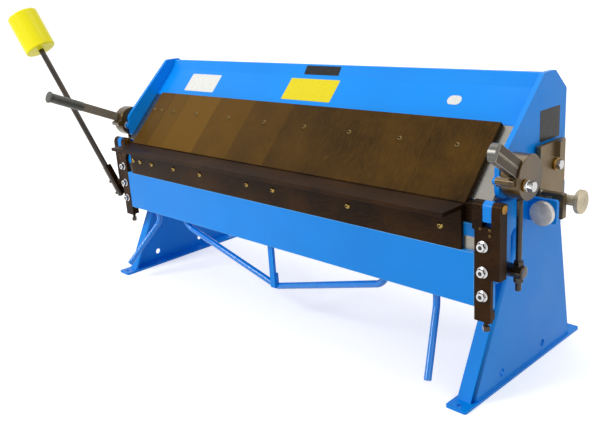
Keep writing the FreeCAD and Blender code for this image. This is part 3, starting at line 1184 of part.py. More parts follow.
def lock_knob():
    """Right lock knob with its hub and stud, which nips the setback plate to the pad."""
    head = broken_rod((LOCK_KNOB_REAR_X, LOCK_KNOB_Y, LOCK_KNOB_Z),
                      (LOCK_KNOB_FACE_X, LOCK_KNOB_Y, LOCK_KNOB_Z), KNOB_RADIUS, KNOB_EDGE_BREAK)
    hub_x = CARRIAGE_OUTER_X + SLIDE_GAP
    hub = rod_x(hub_x, LOCK_KNOB_REAR_X, LOCK_KNOB_Y, LOCK_KNOB_Z, LOCK_HUB_RADIUS)
    stud = rod_x(LEG_OUTER_X + LOCK_STUD_END_GAP, hub_x, LOCK_KNOB_Y, LOCK_KNOB_Z, LOCK_STUD_RADIUS)
    return fused([head, hub, stud])


# Clamp cams, handles and link rods

def cam():
    """Right clamp cam: a round body on the cam bolt, slotted for the link rod's eye."""
    centre0 = (CAM_INNER_X, CAM_CENTRE_Y, CAM_CENTRE_Z)
    centre1 = (CAM_OUTER_X, CAM_CENTRE_Y, CAM_CENTRE_Z)
    body = broken_rod(centre0, centre1, CAM_RADIUS, CAM_EDGE_BREAK)
    slot_x0 = CAM_INNER_X + CAM_SLOT_INNER
    slot_x1 = slot_x0 + CAM_SLOT_WIDTH
    far = 2 * CAM_RADIUS
    lift_y, lift_z = polar(CRANK_Y, CRANK_Z, 90 - (90 - CAM_TURN) / 2, CAM_SLOT_REAR)
    edge_y, edge_z = polar(lift_y, lift_z, -(90 - CAM_TURN), far)
    sweep = side_plate(slot_x0, slot_x1, [
        (CRANK_Y - CAM_SLOT_FRONT, CRANK_Z, 0),
        (CRANK_Y - CAM_SLOT_FRONT, CRANK_Z - far, 0),
        (edge_y, CRANK_Z - far, 0),
        (edge_y, edge_z, 0),
        (lift_y, lift_z, 0),
    ])
    eye_room = rod_x(slot_x0, slot_x1, CRANK_Y, CRANK_Z, CAM_SLOT_ROUND)
    body = body.cut(fused([sweep, eye_room]))
    body = body.cut(rod_x(CAM_INNER_X - PAST, CAM_OUTER_X + PAST, CAM_PIVOT_Y, CAM_PIVOT_Z,
                          CAM_BOLT_RADIUS + RUNNING_FIT))
    crank = rod_x(CAM_INNER_X + CRANK_PIN_END_WALL, CAM_OUTER_X - CRANK_PIN_END_WALL, CRANK_Y, CRANK_Z,
                  CRANK_PIN_RADIUS)
    return fused([body, crank, stop_pin()])


def stop_pin():
    """Stop pin in front of the right cam, with the lug that holds it."""
    pin = rod_x(STOP_PIN_OUTER_X - STOP_PIN_LENGTH, STOP_PIN_OUTER_X, STOP_PIN_Y, STOP_PIN_Z,
                STOP_PIN_RADIUS)
    lug = box(STOP_PIN_OUTER_X - STOP_LUG_WIDTH, STOP_PIN_OUTER_X, STOP_PIN_Y, CAM_PIVOT_Y - STOP_LUG_ROOT,
              STOP_PIN_Z - STOP_PIN_RADIUS, STOP_PIN_Z + STOP_PIN_RADIUS)
    return fused([pin, lug])


def cam_envelope():
    """Round outline of the right cam, which the handles are cut to."""
    return rod_x(CAM_INNER_X - PAST, CAM_OUTER_X + PAST, CAM_CENTRE_Y, CAM_CENTRE_Z, CAM_RADIUS)


def bar_on_cam(angle, start, end, width, thickness):
    """A flat bar on the right cam, from start to end along its angle, square at both ends."""
    shape = box(HANDLE_X - thickness / 2, HANDLE_X + thickness / 2, start, end, -width / 2, width / 2)
    turn = FreeCAD.Rotation(Vector(1, 0, 0), angle)
    shape.Placement = FreeCAD.Placement(Vector(0, CAM_CENTRE_Y, CAM_CENTRE_Z), turn)
    return shape


def short_handle():
    """Right cam handle: a thick bar with a groove down each side."""
    end = SHORT_HANDLE_LENGTH - SHORT_HANDLE_TIP
    shape = bar_on_cam(SHORT_HANDLE_ANGLE, 0, end, SHORT_HANDLE_WIDTH, SHORT_HANDLE_THICKNESS)
    shape = shape.cut(cam_envelope())
    core = SHORT_HANDLE_THICKNESS - 2 * SHORT_HANDLE_GROOVE_DEPTH
    groove = bar_on_cam(SHORT_HANDLE_ANGLE, CAM_RADIUS + SHORT_HANDLE_GROOVE_START, end + PAST,
                        SHORT_HANDLE_GROOVE, SHORT_HANDLE_THICKNESS)
    keep = bar_on_cam(SHORT_HANDLE_ANGLE, 0, end + 2 * PAST, SHORT_HANDLE_WIDTH, core)
    return shape.cut(groove.cut(keep)).cut(stop_pin())


def short_handle_tip():
    """Rounded steel end of the right cam handle."""
    start = SHORT_HANDLE_LENGTH - SHORT_HANDLE_TIP
    y, z = polar(CAM_CENTRE_Y, CAM_CENTRE_Z, SHORT_HANDLE_ANGLE, start)
    half = SHORT_HANDLE_THICKNESS / 2
    radius = SHORT_HANDLE_WIDTH / 2
    bend = (radius ** 2 + SHORT_HANDLE_TIP ** 2) / (2 * SHORT_HANDLE_TIP)
    centre_y, centre_z = polar(y, z, SHORT_HANDLE_ANGLE, SHORT_HANDLE_TIP - bend)
    disc = rod_x(HANDLE_X - half, HANDLE_X + half, centre_y, centre_z, bend)
    keep = bar_on_cam(SHORT_HANDLE_ANGLE, start, SHORT_HANDLE_LENGTH + PAST, SHORT_HANDLE_WIDTH,
                      SHORT_HANDLE_THICKNESS)
    return disc.common(keep)


def long_handle():
    """Left cam handle, built on the right: a flat bar with a narrower tang inside the grip."""
    bar = bar_on_cam(LONG_HANDLE_ANGLE, 0, LONG_BAR_LENGTH, LONG_BAR_WIDTH, LONG_BAR_THICKNESS)
    tang = bar_on_cam(LONG_HANDLE_ANGLE, LONG_BAR_LENGTH - PAST, LONG_BAR_LENGTH + LONG_BAR_TANG,
                      LONG_BAR_TANG_WIDTH, LONG_BAR_THICKNESS)
    return fused([bar, tang]).cut(cam_envelope()).cut(stop_pin())


def handle_point(along):
    """Return the point at a distance from the cam's centre along the long handle."""
    y, z = polar(CAM_CENTRE_Y, CAM_CENTRE_Z, LONG_HANDLE_ANGLE, along)
    return Vector(HANDLE_X, y, z)


def handle_grip():
    """Grip on the left cam handle, built on the right, with a rounded flange at its end."""
    start = handle_point(LONG_BAR_LENGTH)
    flange_start = handle_point(LONG_HANDLE_LENGTH - GRIP_FLANGE)
    axis = flange_start - start
    body = Part.makeCylinder(GRIP_RADIUS, axis.Length, start, axis)
    flange = Part.makeCylinder(GRIP_FLANGE_RADIUS, GRIP_FLANGE, flange_start, axis)
    rims = [edge for edge in flange.Edges if isinstance(edge.Curve, Part.Circle)]
    flange = flange.makeFillet(GRIP_FLANGE_EDGE_RADIUS, rims)
    return fused([body, flange]).cut(long_handle())


def eye_outline(radius):
    """Oblong round the crank pin, long enough for the setback travel and the rod's swing."""
    travel = SETBACK_TRAVEL + LINK_EYE_SWING
    x0 = LINK_X - LINK_BLADE_WIDTH / 2
    x1 = LINK_X + LINK_BLADE_WIDTH / 2
    ends = [rod_x(x0, x1, CRANK_Y + shift, CRANK_Z, radius) for shift in (0, travel)]
    middle = box(x0, x1, CRANK_Y, CRANK_Y + travel, CRANK_Z - radius, CRANK_Z + radius)
    return fused(ends + [middle])


def link_shank():
    """Round part of the right link rod."""
    return rod((LINK_X, CRANK_Y, LINK_ROD_BOTTOM_Z), (LINK_X, CRANK_Y, LINK_BLADE_BOTTOM_Z),
               LINK_ROD_RADIUS)


def link_rod():
    """Right link rod: a threaded rod with a flattened eye round the crank pin."""
    hole_radius = CRANK_PIN_RADIUS + LINK_EYE_PLAY
    blade = box(LINK_X - LINK_BLADE_WIDTH / 2, LINK_X + LINK_BLADE_WIDTH / 2, CRANK_Y - LINK_BLADE_HALF,
                CRANK_Y + LINK_BLADE_HALF, LINK_BLADE_BOTTOM_Z, CRANK_Z)
    shape = fused([link_shank(), blade, eye_outline(hole_radius + LINK_EYE_WALL)])
    return shape.cut(eye_outline(hole_radius))


def trunnion(inset):
    """Right trunnion in the hinge arm, cross drilled for a link rod moved inwards by the inset."""
    x0 = ARM_OUTER_X + SLIDE_GAP
    link_x = LINK_X - inset
    head = rod_x(x0, x0 + TRUNNION_LENGTH, CRANK_Y, TRUNNION_Z, TRUNNION_RADIUS)
    rims = [edge for edge in head.Edges
            if isinstance(edge.Curve, Part.Circle) and edge.CenterOfMass.x > x0 + PAST]
    head = head.makeFillet(TRUNNION_EDGE_RADIUS, rims)
    flat_half = LINK_NUT_FLATS / 2 + TRUNNION_FLAT_MARGIN
    for low_z, high_z in ((TRUNNION_Z - TRUNNION_RADIUS, TRUNNION_Z - TRUNNION_FLAT),
                          (TRUNNION_Z + TRUNNION_FLAT, TRUNNION_Z + TRUNNION_RADIUS)):
        head = head.cut(box(link_x - flat_half, link_x + flat_half, CRANK_Y - TRUNNION_RADIUS,
                            CRANK_Y + TRUNNION_RADIUS, low_z, high_z))
    journal = rod_x(LEG_OUTER_X + LOCK_STUD_END_GAP, x0, CRANK_Y, TRUNNION_Z, TRUNNION_JOURNAL_RADIUS)
    return fused([head, journal]).cut(moved_inwards(link_shank(), inset))


def link_nuts():
    """The right link rod's two nuts, above and below the trunnion."""
    nuts = []
    for low_z in (TRUNNION_Z + TRUNNION_FLAT, TRUNNION_Z - TRUNNION_FLAT - LINK_NUT_HEIGHT):
        nut = prism((LINK_X, CRANK_Y, low_z), (0, 0, 1), 6, LINK_NUT_FLATS, LINK_NUT_HEIGHT)
        nuts.append(nut.cut(link_shank()))
    return nuts


# Export

def save(name, shapes):
    """Write one node, as a single solid or a group, with the origin between the floor bolts."""
    if not isinstance(shapes, list):
        shapes = [shapes]
    shape = shapes[0] if len(shapes) == 1 else Part.makeCompound(shapes)
    moved = shape.copy()
    moved.translate(Vector(0, -ORIGIN_Y, 0))
    moved.exportStep("parts/" + name + ".step")


def save_pair(name, shape):
    """Write the right piece and its mirrored twin as two nodes."""
    shapes = shape if isinstance(shape, list) else [shape]
    save("right_" + name, shapes)
    save("left_" + name, [mirrored(item) for item in shapes])


def save_both(name, shape):
    """Write the right piece and its mirrored twin as one node."""
    shapes = shape if isinstance(shape, list) else [shape]
    save(name, shapes + [mirrored(item) for item in shapes])


def on_left_clamp(shape):
    """Return a piece of the right clamp as its twin on the left clamp."""
    return mirrored(moved_inwards(shape, LEFT_CLAMP_INSET))


def build_base():
    save_pair("leg", leg())
    save_both("foot_bars", foot())
    save("bed", bed())
    save("nose_bar", nose_bar())
    save_pair("hinge_arm", hinge_arm())
    save_both("hinge_pins", hinge_pin())
    save_both("screw_lugs", screw_lug())
    save_both("guide_pads", guide_pad())


def build_apron():
    save("apron_plate", apron_plate())
    for name, (left, right) in zip(BAR_NAMES, strips(BAR_WIDTHS)):
        save("bend_bar_" + name, bend_bar(left, right))
    save("bend_bar_screws", bar_bolts())
    save_pair("hinge_fork", hinge_fork())
    save_both("fork_bolts", fork_bolts())
    save_both("hinge_bushes", hinge_bushes())
    save_pair("adjuster_screw", adjuster_screw())
    save("truss_bar", truss_tube())
    save("truss_post", truss_post())
    save_both("pull_rods", pull_rod())
    save("counterweight_channel", weight_channel())
    save("channel_screws", channel_screws(with_heads=True))
    save("counterweight_rod", weight_rod())
    save("counterweight", counterweight())


def build_beam():
    fingers = [finger(left, right) for left, right in strips(FINGER_WIDTHS)]
    save("finger_1in", fingers[0])
    save("finger_2in", fingers[1])
    save("finger_3in", fingers[2])
    save("wide_fingers", fingers[-WIDE_FINGER_COUNT:])
    save("finger_screws", finger_screws())
    save("finger_seat", finger_seat())
    save("beam_shell", beam_shell())
    save_pair("end_plate", end_plate())
    save("cam_bolts", [cam_bolt(0), mirrored(cam_bolt(LEFT_CLAMP_INSET))])
    save("cam_brass_washers", [cam_brass_washer(0), mirrored(cam_brass_washer(LEFT_CLAMP_INSET))])


def build_carriage():
    save_pair("setback_plate", fused([setback_plate(), setback_bracket()]))
    save_both("beam_pivot_bolts", pivot_bolt())
    save_both("pivot_brass_washers", pivot_washer())
    save_pair("setback_knob", setback_knob())
    save_pair("lock_knob", lock_knob())


def build_clamps():
    save("right_cam", cam())
    save("left_cam", on_left_clamp(cam()))
    save("right_handle", short_handle())
    save("right_handle_tip", short_handle_tip())
    save("left_handle", on_left_clamp(long_handle()))
    save("left_handle_grip", on_left_clamp(handle_grip()))
    save("right_link_rod", link_rod())
    save("left_link_rod", on_left_clamp(link_rod()))
    save("right_trunnion", [trunnion(0)] + link_nuts())
    left_nuts = [on_left_clamp(nut) for nut in link_nuts()]
    save("left_trunnion", [mirrored(trunnion(LEFT_CLAMP_INSET))] + left_nuts)


os.makedirs("parts", exist_ok=True)
build_base()
build_apron()
build_beam()
build_carriage()
build_clamps()
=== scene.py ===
"""Looks of a free-standing box and pan brake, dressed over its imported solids."""
import json
import logging
import math
from dataclasses import dataclass
from enum import Enum
from typing import Sequence

import bmesh
import bpy
from bmesh.types import BMEdge, BMesh, BMFace, BMVert
from mathutils import Matrix, Vector

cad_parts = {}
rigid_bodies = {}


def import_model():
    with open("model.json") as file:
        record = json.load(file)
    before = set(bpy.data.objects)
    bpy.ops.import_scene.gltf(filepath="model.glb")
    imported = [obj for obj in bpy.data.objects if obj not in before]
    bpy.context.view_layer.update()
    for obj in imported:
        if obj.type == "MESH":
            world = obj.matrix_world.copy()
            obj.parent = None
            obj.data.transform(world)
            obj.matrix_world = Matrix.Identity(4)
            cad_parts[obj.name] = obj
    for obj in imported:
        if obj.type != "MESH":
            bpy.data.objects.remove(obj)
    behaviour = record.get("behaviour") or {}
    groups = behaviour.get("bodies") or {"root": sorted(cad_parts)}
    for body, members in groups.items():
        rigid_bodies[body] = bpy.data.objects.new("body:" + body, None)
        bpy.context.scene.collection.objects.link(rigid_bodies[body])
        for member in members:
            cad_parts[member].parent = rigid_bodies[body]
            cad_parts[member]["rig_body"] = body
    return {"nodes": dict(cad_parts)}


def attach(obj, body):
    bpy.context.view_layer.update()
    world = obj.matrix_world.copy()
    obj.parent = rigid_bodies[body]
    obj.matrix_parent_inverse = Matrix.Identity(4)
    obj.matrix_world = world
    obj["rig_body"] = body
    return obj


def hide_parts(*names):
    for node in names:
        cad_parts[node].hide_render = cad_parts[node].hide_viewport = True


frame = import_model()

log = logging.getLogger("brake")

MM = 0.001
INCH = 25.4
BEND_LENGTH = 48 * INCH
ORIGIN_Y = 169.5                    # from the bend line back to the part's origin
BEND_Z = 423.2
SLOPE = math.radians(46.26)
SIDES = (-1, 1)
LEFT_TO_RIGHT = {-1: "left", 1: "right"}
ROUND_STEPS = 48                    # divisible by four and six, so that flats fall on the steps
ROD_SIDES = 28
MERGE_DISTANCE = 0.02 * MM
WELD_DISTANCE = 0.001 * MM
BUTTON_HEAD = (7.4, 4.6, 5.0)       # radius, height and socket of the fingers' and bend bars' screws
BUTTON_SHANK_RADIUS = 3.98
BIG_HEX_FLATS = 19.0
LEFT_CLAMP_INSET = 13.0             # the left clamp stands closer to its end plate
LABEL_THICKNESS = 0.4
LABEL_CORNER = 3.0
TONE = "tone"
X_AXIS = Vector((1.0, 0.0, 0.0))
Y_AXIS = Vector((0.0, 1.0, 0.0))
Z_AXIS = Vector((0.0, 0.0, 1.0))
UP_SLOPE = Vector((0.0, math.cos(SLOPE), math.sin(SLOPE)))
OUT_OF_SLOPE = Vector((0.0, -math.sin(SLOPE), math.cos(SLOPE)))

Colour = tuple[int, int, int]


def at(x: float, y: float, z: float) -> Vector:
    """Turn millimetres, with y counted from the bend line, into a place on the part.

    Args:
        x: Distance to the operator's right.
        y: Distance behind the bend line.
        z: Height above the floor.

    Returns:
        The place in metres in the part's frame.
    """
    return Vector((x, y - ORIGIN_Y, z)) * MM


def on_slope(x: float, up: float, out: float = 0.0) -> Vector:
    """Find a place on the fingers' slope.

    Args:
        x: Distance to the operator's right, in millimetres.
        up: Distance up the slope from the finger noses.
        out: Distance out of the fingers' front face.

    Returns:
        The place in metres in the part's frame.
    """
    return at(x, 0.0, BEND_Z) + (UP_SLOPE * up + OUT_OF_SLOPE * out) * MM


def linear(colour: Colour) -> tuple[float, float, float, float]:
    """Turn a screen colour into the linear values that a shader takes.

    Args:
        colour: Red, green and blue from 0 to 255.

    Returns:
        Linear red, green, blue and alpha.
    """
    def channel(value: float) -> float:
        """Return one channel on the linear scale."""
        share = value / 255
        return share / 12.92 if share <= 0.04045 else ((share + 0.055) / 1.055) ** 2.4
    return (*(channel(value) for value in colour), 1.0)


def blended(colour: Colour, other: Colour, share: float) -> Colour:
    """Return a colour moved a share of the way to another."""
    return tuple(round(a + (b - a) * share) for a, b in zip(colour, other))


class Slot(Enum):
    """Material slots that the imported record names."""

    BLUE = "blue_paint"
    BLACK = "black_oxide"
    BARE = "bare_steel"
    BRIGHT = "bright_steel"
    BRASS = "brass"
    YELLOW = "yellow_paint"
    HANDLE = "grey_handle"
    GRIP = "grip"


class Nodes:
    """A tree of shader nodes, with short ways to add and join them."""

    def __init__(self, tree: bpy.types.NodeTree) -> None:
        """Take hold of a tree.

        Args:
            tree: The nodes of a material or of the world.
        """
        self.tree = tree

    def add(self, kind: str, **settings: object) -> bpy.types.Node:
        """Add a node.

        Args:
            kind: The node's type name.
            settings: Values for the node's own properties.

        Returns:
            The new node.
        """
        node = self.tree.nodes.new(kind)
        for key, value in settings.items():
            setattr(node, key, value)
        return node

    def link(self, source: bpy.types.NodeSocket, target: bpy.types.NodeSocket) -> None:
        """Join an output to an input."""
        self.tree.links.new(source, target)

    def between(self, value: bpy.types.NodeSocket, low: float, high: float,
                start: float = 0.0, end: float = 1.0) -> bpy.types.NodeSocket:
        """Map a value's range onto another, clamped.

        Args:
            value: The value to map.
            low: Value that becomes start.
            high: Value that becomes end.
            start: Result at the low value.
            end: Result at the high value.

        Returns:
            The mapped value.
        """
        node = self.add("ShaderNodeMapRange")
        self.link(value, node.inputs["Value"])
        for key, number in (("From Min", low), ("From Max", high), ("To Min", start), ("To Max", end)):
            node.inputs[key].default_value = number
        return node.outputs["Result"]

    def seen(self) -> bpy.types.NodeSocket:
        """Return one where the eye, a mirror or glass looks at the surface, and otherwise zero."""
        path = self.add("ShaderNodeLightPath")
        value = path.outputs["Is Camera Ray"]
        for flag in ("Is Glossy Ray", "Is Transmission Ray"):
            greater = self.add("ShaderNodeMath", operation="MAXIMUM")
            self.link(value, greater.inputs[0])
            self.link(path.outputs[flag], greater.inputs[1])
            value = greater.outputs[0]
        return value


class Graph(Nodes):
    """Shader nodes of one material, which start from a Principled shader."""

    def __init__(self, name: str) -> None:
        """Start a material.

        Args:
            name: The material's name.
        """
        self.material = bpy.data.materials.new(name)
        self.material.use_nodes = True
        super().__init__(self.material.node_tree)
        self.shader = self.tree.nodes["Principled BSDF"]
        self.place = self.add("ShaderNodeTexCoord").outputs["Object"]

    def fixed(self, **values: float) -> None:
        """Set the shader's own sockets, named in lower case with underscores."""
        for key, value in values.items():
            socket = key.replace("_", " ").title().replace("Ior", "IOR")
            self.shader.inputs[socket].default_value = value

    def mapped(self, scale: Sequence[float],
               centre: Sequence[float] = (0.0, 0.0, 0.0)) -> bpy.types.NodeSocket:
        """Stretch the object's coordinates about a centre.

        Args:
            scale: Stretch along each axis.
            centre: The place that becomes zero, in metres.

        Returns:
            The stretched coordinates.
        """
        shift = self.add("ShaderNodeVectorMath", operation="SUBTRACT")
        self.link(self.place, shift.inputs[0])
        shift.inputs[1].default_value = centre
        stretch = self.add("ShaderNodeVectorMath", operation="MULTIPLY")
        self.link(shift.outputs[0], stretch.inputs[0])
        stretch.inputs[1].default_value = scale
        return stretch.outputs[0]

    def noise(self, scale: float, detail: float = 3.0, stretch: Sequence[float] = (1.0, 1.0, 1.0),
              roughness: float = 0.55) -> bpy.types.NodeSocket:
        """Add fractal noise.

        Args:
            scale: Cells per metre.
            detail: Octaves of finer noise.
            stretch: Extra frequency along each axis.
            roughness: Strength of the finer octaves.

        Returns:
            The noise value.
        """
        node = self.add("ShaderNodeTexNoise")
        self.link(self.mapped(stretch), node.inputs["Vector"])
        node.inputs["Scale"].default_value = scale
        node.inputs["Detail"].default_value = detail
        node.inputs["Roughness"].default_value = roughness
        return node.outputs["Fac"]

    def mix(self, share: bpy.types.NodeSocket, first: object, second: object) -> bpy.types.NodeSocket:
        """Mix two colours.

        Args:
            share: How much of the second colour shows.
            first: A colour of 0 to 255 values, or a socket.
            second: A colour of 0 to 255 values, or a socket.

        Returns:
            The mixed colour.
        """
        node = self.add("ShaderNodeMix", data_type="RGBA")
        self.link(share, node.inputs[0])
        for value, target in ((first, node.inputs[6]), (second, node.inputs[7])):
            if isinstance(value, tuple):
                target.default_value = linear(value)
            else:
                self.link(value, target)
        return node.outputs[2]

    def colour(self, value: bpy.types.NodeSocket) -> None:
        """Join a colour to the shader's base colour."""
        self.link(value, self.shader.inputs["Base Color"])

    def roughness(self, value: bpy.types.NodeSocket) -> None:
        """Join a value to the shader's roughness."""
        self.link(value, self.shader.inputs["Roughness"])

    def bump(self, *layers: tuple[bpy.types.NodeSocket, float, float]) -> None:
        """Stack bump layers on the shader's normal.

        Args:
            layers: Height, strength and distance in metres of each layer.
        """
        normal = None
        for height, strength, distance in layers:
            node = self.add("ShaderNodeBump")
            node.inputs["Strength"].default_value = strength
            node.inputs["Distance"].default_value = distance
            self.link(height, node.inputs["Height"])
            if normal is not None:
                self.link(normal, node.inputs["Normal"])
            normal = node.outputs["Normal"]
        self.link(normal, self.shader.inputs["Normal"])


@dataclass(frozen=True)
class Finish:
    """A surface finish and the record's slot that it belongs to."""

    name: str
    slot: Slot
    main: Colour

    def dress(self, graph: Graph) -> None:
        """Build the finish's shader.

        Args:
            graph: The material's nodes.
        """
        raise NotImplementedError

    def material(self) -> bpy.types.Material:
        """Return the finish's material, made at its first use."""
        found = bpy.data.materials.get(self.name)
        if found is not None:
            return found
        graph = Graph(self.name)
        self.dress(graph)
        return graph.material


@dataclass(frozen=True)
class GlossPaint(Finish):
    """Sprayed gloss paint: faint orange peel, drifts of tone and rubbed patches."""

    gloss: float = 0.36
    peel: float = 0.06
    coat: float = 0.07

    def dress(self, graph: Graph) -> None:
        """Build the paint's shader.

        Args:
            graph: The material's nodes.
        """
        drift = graph.between(graph.noise(2.6, 2.0), 0.35, 0.65)
        shade = graph.mix(drift, self.main, blended(self.main, (0, 0, 0), 0.05))
        dust = graph.between(graph.noise(26.0, 6.0, roughness=0.7), 0.55, 0.85, 0.0, 0.50)
        graph.colour(graph.mix(dust, shade, blended(self.main, (255, 255, 255), 0.06)))
        haze = graph.noise(9.0, 5.0)
        graph.roughness(graph.between(haze, 0.3, 0.7, self.gloss - 0.05, self.gloss + 0.09))
        graph.fixed(coat_weight=self.coat, coat_roughness=0.06, specular_ior_level=0.18)
        graph.bump((graph.noise(420.0, 2.0), self.peel, 0.08 * MM),
                   (graph.noise(16.0, 1.0), 0.10, 0.4 * MM))


@dataclass(frozen=True)
class OxideBlack(Finish):
    """Oiled black oxide on steel: brown drifts, fine grinding lines and scuffs."""

    warm: Colour = (92, 70, 26)
    grain: tuple[float, float, float] = (0.6, 14.0, 14.0)
    toned: bool = False
    metal: float = 0.30
    shine: float = 0.34
    glint: float = 0.26
    coat: float = 0.0

    def dress(self, graph: Graph) -> None:
        """Build the oxide's shader.

        Args:
            graph: The material's nodes.
        """
        drift = graph.between(graph.noise(7.0, 4.0), 0.38, 0.72, 0.0, 0.30)
        lines = graph.noise(70.0, 4.0, stretch=self.grain)
        base = graph.mix(drift, self.main, self.warm)
        base = graph.mix(graph.between(lines, 0.45, 0.75, 0.0, 0.35), base, self.warm)
        if self.toned:
            tone = graph.add("ShaderNodeAttribute", attribute_name=TONE).outputs["Fac"]
            base = graph.mix(tone, base, self.warm)
        scuffs = graph.between(graph.noise(55.0, 7.0, roughness=0.75), 0.66, 0.80, 0.0, 0.35)
        graph.colour(graph.mix(scuffs, base, blended(self.warm, (170, 150, 120), 0.4)))
        graph.roughness(graph.between(lines, 0.3, 0.7, self.shine, self.shine + 0.16))
        graph.fixed(metallic=self.metal, specular_ior_level=self.glint,
                    coat_weight=self.coat, coat_roughness=0.08)
        graph.bump((lines, 0.12, 0.15 * MM), (graph.noise(900.0, 2.0), 0.08, 0.1 * MM))


@dataclass(frozen=True)
class BareMetal(Finish):
    """Bare or plated metal: milling or turning lines, stains and bright rubbed spots."""

    stain: Colour = (140, 120, 90)
    shine: float = 0.30
    grain: tuple[float, float, float] = (0.4, 9.0, 9.0)
    stained: float = 0.35
    metal: float = 1.0

    def dress(self, graph: Graph) -> None:
        """Build the metal's shader.

        Args:
            graph: The material's nodes.
        """
        blotch = graph.between(graph.noise(24.0, 6.0, roughness=0.65), 0.45, 0.75, 0.0, self.stained)
        streak = graph.noise(60.0, 4.0, stretch=self.grain)
        darker = blended(self.main, (60, 60, 62), 0.22)
        streaked = graph.mix(graph.between(streak, 0.3, 0.7), self.main, darker)
        graph.colour(graph.mix(blotch, streaked, self.stain))
        graph.roughness(graph.between(streak, 0.3, 0.7, self.shine - 0.06, self.shine + 0.10))
        graph.fixed(metallic=self.metal)
        graph.bump((streak, 0.15, 0.12 * MM), (graph.noise(700.0, 2.0), 0.05, 0.08 * MM))


@dataclass(frozen=True)
class TurnedMetal(Finish):
    """Faced steel with fine rings round an axis."""

    centre: tuple[float, float, float] = (0.0, 0.0, 0.0)
    direction: str = "Y"
    shine: float = 0.30

    def dress(self, graph: Graph) -> None:
        """Build the faced metal's shader.

        Args:
            graph: The material's nodes.
        """
        rings = graph.add("ShaderNodeTexWave", wave_type="RINGS", rings_direction=self.direction)
        graph.link(graph.mapped((1.0, 1.0, 1.0), self.centre), rings.inputs["Vector"])
        rings.inputs["Scale"].default_value = 900.0
        rings.inputs["Distortion"].default_value = 0.6
        rings.inputs["Detail"].default_value = 3.0
        patches = graph.between(graph.noise(45.0, 5.0), 0.35, 0.7)
        graph.colour(graph.mix(patches, self.main, blended(self.main, (110, 108, 104), 0.35)))
        graph.roughness(graph.between(rings.outputs["Fac"], 0.0, 1.0, self.shine, self.shine + 0.14))
        graph.fixed(metallic=0.45)
        graph.bump((rings.outputs["Fac"], 0.22, 0.08 * MM), (graph.noise(160.0, 4.0), 0.06, 0.1 * MM))


@dataclass(frozen=True)
class MouldedRubber(Finish):
    """Dull moulded grip with a pebbled skin."""

    def dress(self, graph: Graph) -> None:
        """Build the rubber's shader.

        Args:
            graph: The material's nodes.
        """
        wear = graph.between(graph.noise(60.0, 5.0), 0.45, 0.7, 0.0, 0.5)
        graph.colour(graph.mix(wear, self.main, blended(self.main, (150, 150, 145), 0.25)))
        graph.roughness(graph.between(graph.noise(120.0, 3.0), 0.3, 0.7, 0.24, 0.38))
        graph.bump((graph.noise(1400.0, 2.0), 0.25, 0.2 * MM), (graph.noise(90.0, 2.0), 0.15, 0.4 * MM))


@dataclass(frozen=True)
class Sticker(Finish):
    """Printed plastic label with nothing written on it."""

    def dress(self, graph: Graph) -> None:
        """Build the label's shader.

        Args:
            graph: The material's nodes.
        """
        fade = graph.between(graph.noise(12.0, 3.0), 0.35, 0.75, 0.0, 0.5)
        graph.colour(graph.mix(fade, self.main, blended(self.main, (120, 120, 110), 0.06)))
        graph.fixed(specular_ior_level=0.25)
        graph.roughness(graph.between(graph.noise(80.0, 4.0), 0.3, 0.7, 0.22, 0.36))
        graph.bump((graph.noise(60.0, 2.0), 0.06, 0.2 * MM))


BLUE = GlossPaint("gloss_blue", Slot.BLUE, (0, 142, 242))
# Lighter, glossier blue on the rounded edges of the painted parts: a painted edge highlight.
BLUE_EDGE_HIGHLIGHT = GlossPaint("gloss_blue_edge_highlight", Slot.BLUE, (86, 178, 250), gloss=0.24)
YELLOW = GlossPaint("gloss_yellow", Slot.YELLOW, (248, 236, 0), gloss=0.40, coat=0.25)
ROUND_BLUE = GlossPaint("gloss_blue_bars", Slot.BLUE, (0, 136, 236), gloss=0.22, coat=0.6)
OXIDE = OxideBlack("oxide_black", Slot.BLACK, (26, 15, 7), warm=(92, 58, 20), glint=0.08)
LINK_OXIDE = OxideBlack("oxide_links", Slot.BLACK, (26, 19, 13), warm=(96, 72, 38),
                        metal=0.6, shine=0.22, coat=0.8)
CAM_OXIDE = OxideBlack("oxide_cams", Slot.BLACK, (42, 33, 22), warm=(150, 118, 62),
                       metal=0.65, shine=0.26, coat=0.5)
FINGER_OXIDE = OxideBlack("oxide_fingers", Slot.BLACK, (31, 17, 5), warm=(114, 80, 14),
                          grain=(14.0, 0.8, 0.8), toned=True, glint=0.08)
GOLDEN_OXIDE = OxideBlack("oxide_golden", Slot.BLACK, (104, 88, 64), warm=(164, 144, 108),
                          grain=(1.0, 1.0, 9.0), metal=0.7, shine=0.30)
WORN_OXIDE = BareMetal("oxide_worn_edge", Slot.BLACK, (160, 126, 80), shine=0.34, stained=0.6)
GROUND = BareMetal("ground_steel", Slot.BARE, (150, 148, 142))
PLATED = BareMetal("zinc_plate", Slot.BRIGHT, (214, 214, 216), stain=(178, 168, 140),
                   shine=0.20, stained=0.25)
YELLOW_ZINC = BareMetal("yellow_zinc", Slot.BRIGHT, (168, 138, 74), stain=(104, 80, 36), shine=0.24)
OILED_ZINC = BareMetal("oiled_zinc", Slot.BRIGHT, (104, 82, 44), stain=(72, 54, 26), shine=0.32)
BRASS = BareMetal("oiled_brass", Slot.BRASS, (168, 124, 44), stain=(104, 74, 26), shine=0.26)
HANDLE_GREY = BareMetal("handle_grey", Slot.HANDLE, (146, 136, 118), stain=(100, 88, 70),
                        shine=0.40, metal=0.5)
CAST_DARK = BareMetal("handle_dark_cast", Slot.HANDLE, (78, 68, 56), stain=(50, 40, 28), shine=0.36)
WORN_GREY = BareMetal("handle_worn_edge", Slot.HANDLE, (176, 168, 152), stain=(116, 100, 78), shine=0.32)
TIP_GREY = BareMetal("tip_grey", Slot.BARE, (104, 102, 98), stain=(70, 66, 58), shine=0.30)
GRIP_GREY = MouldedRubber("grip_grey", Slot.GRIP, (70, 67, 58))
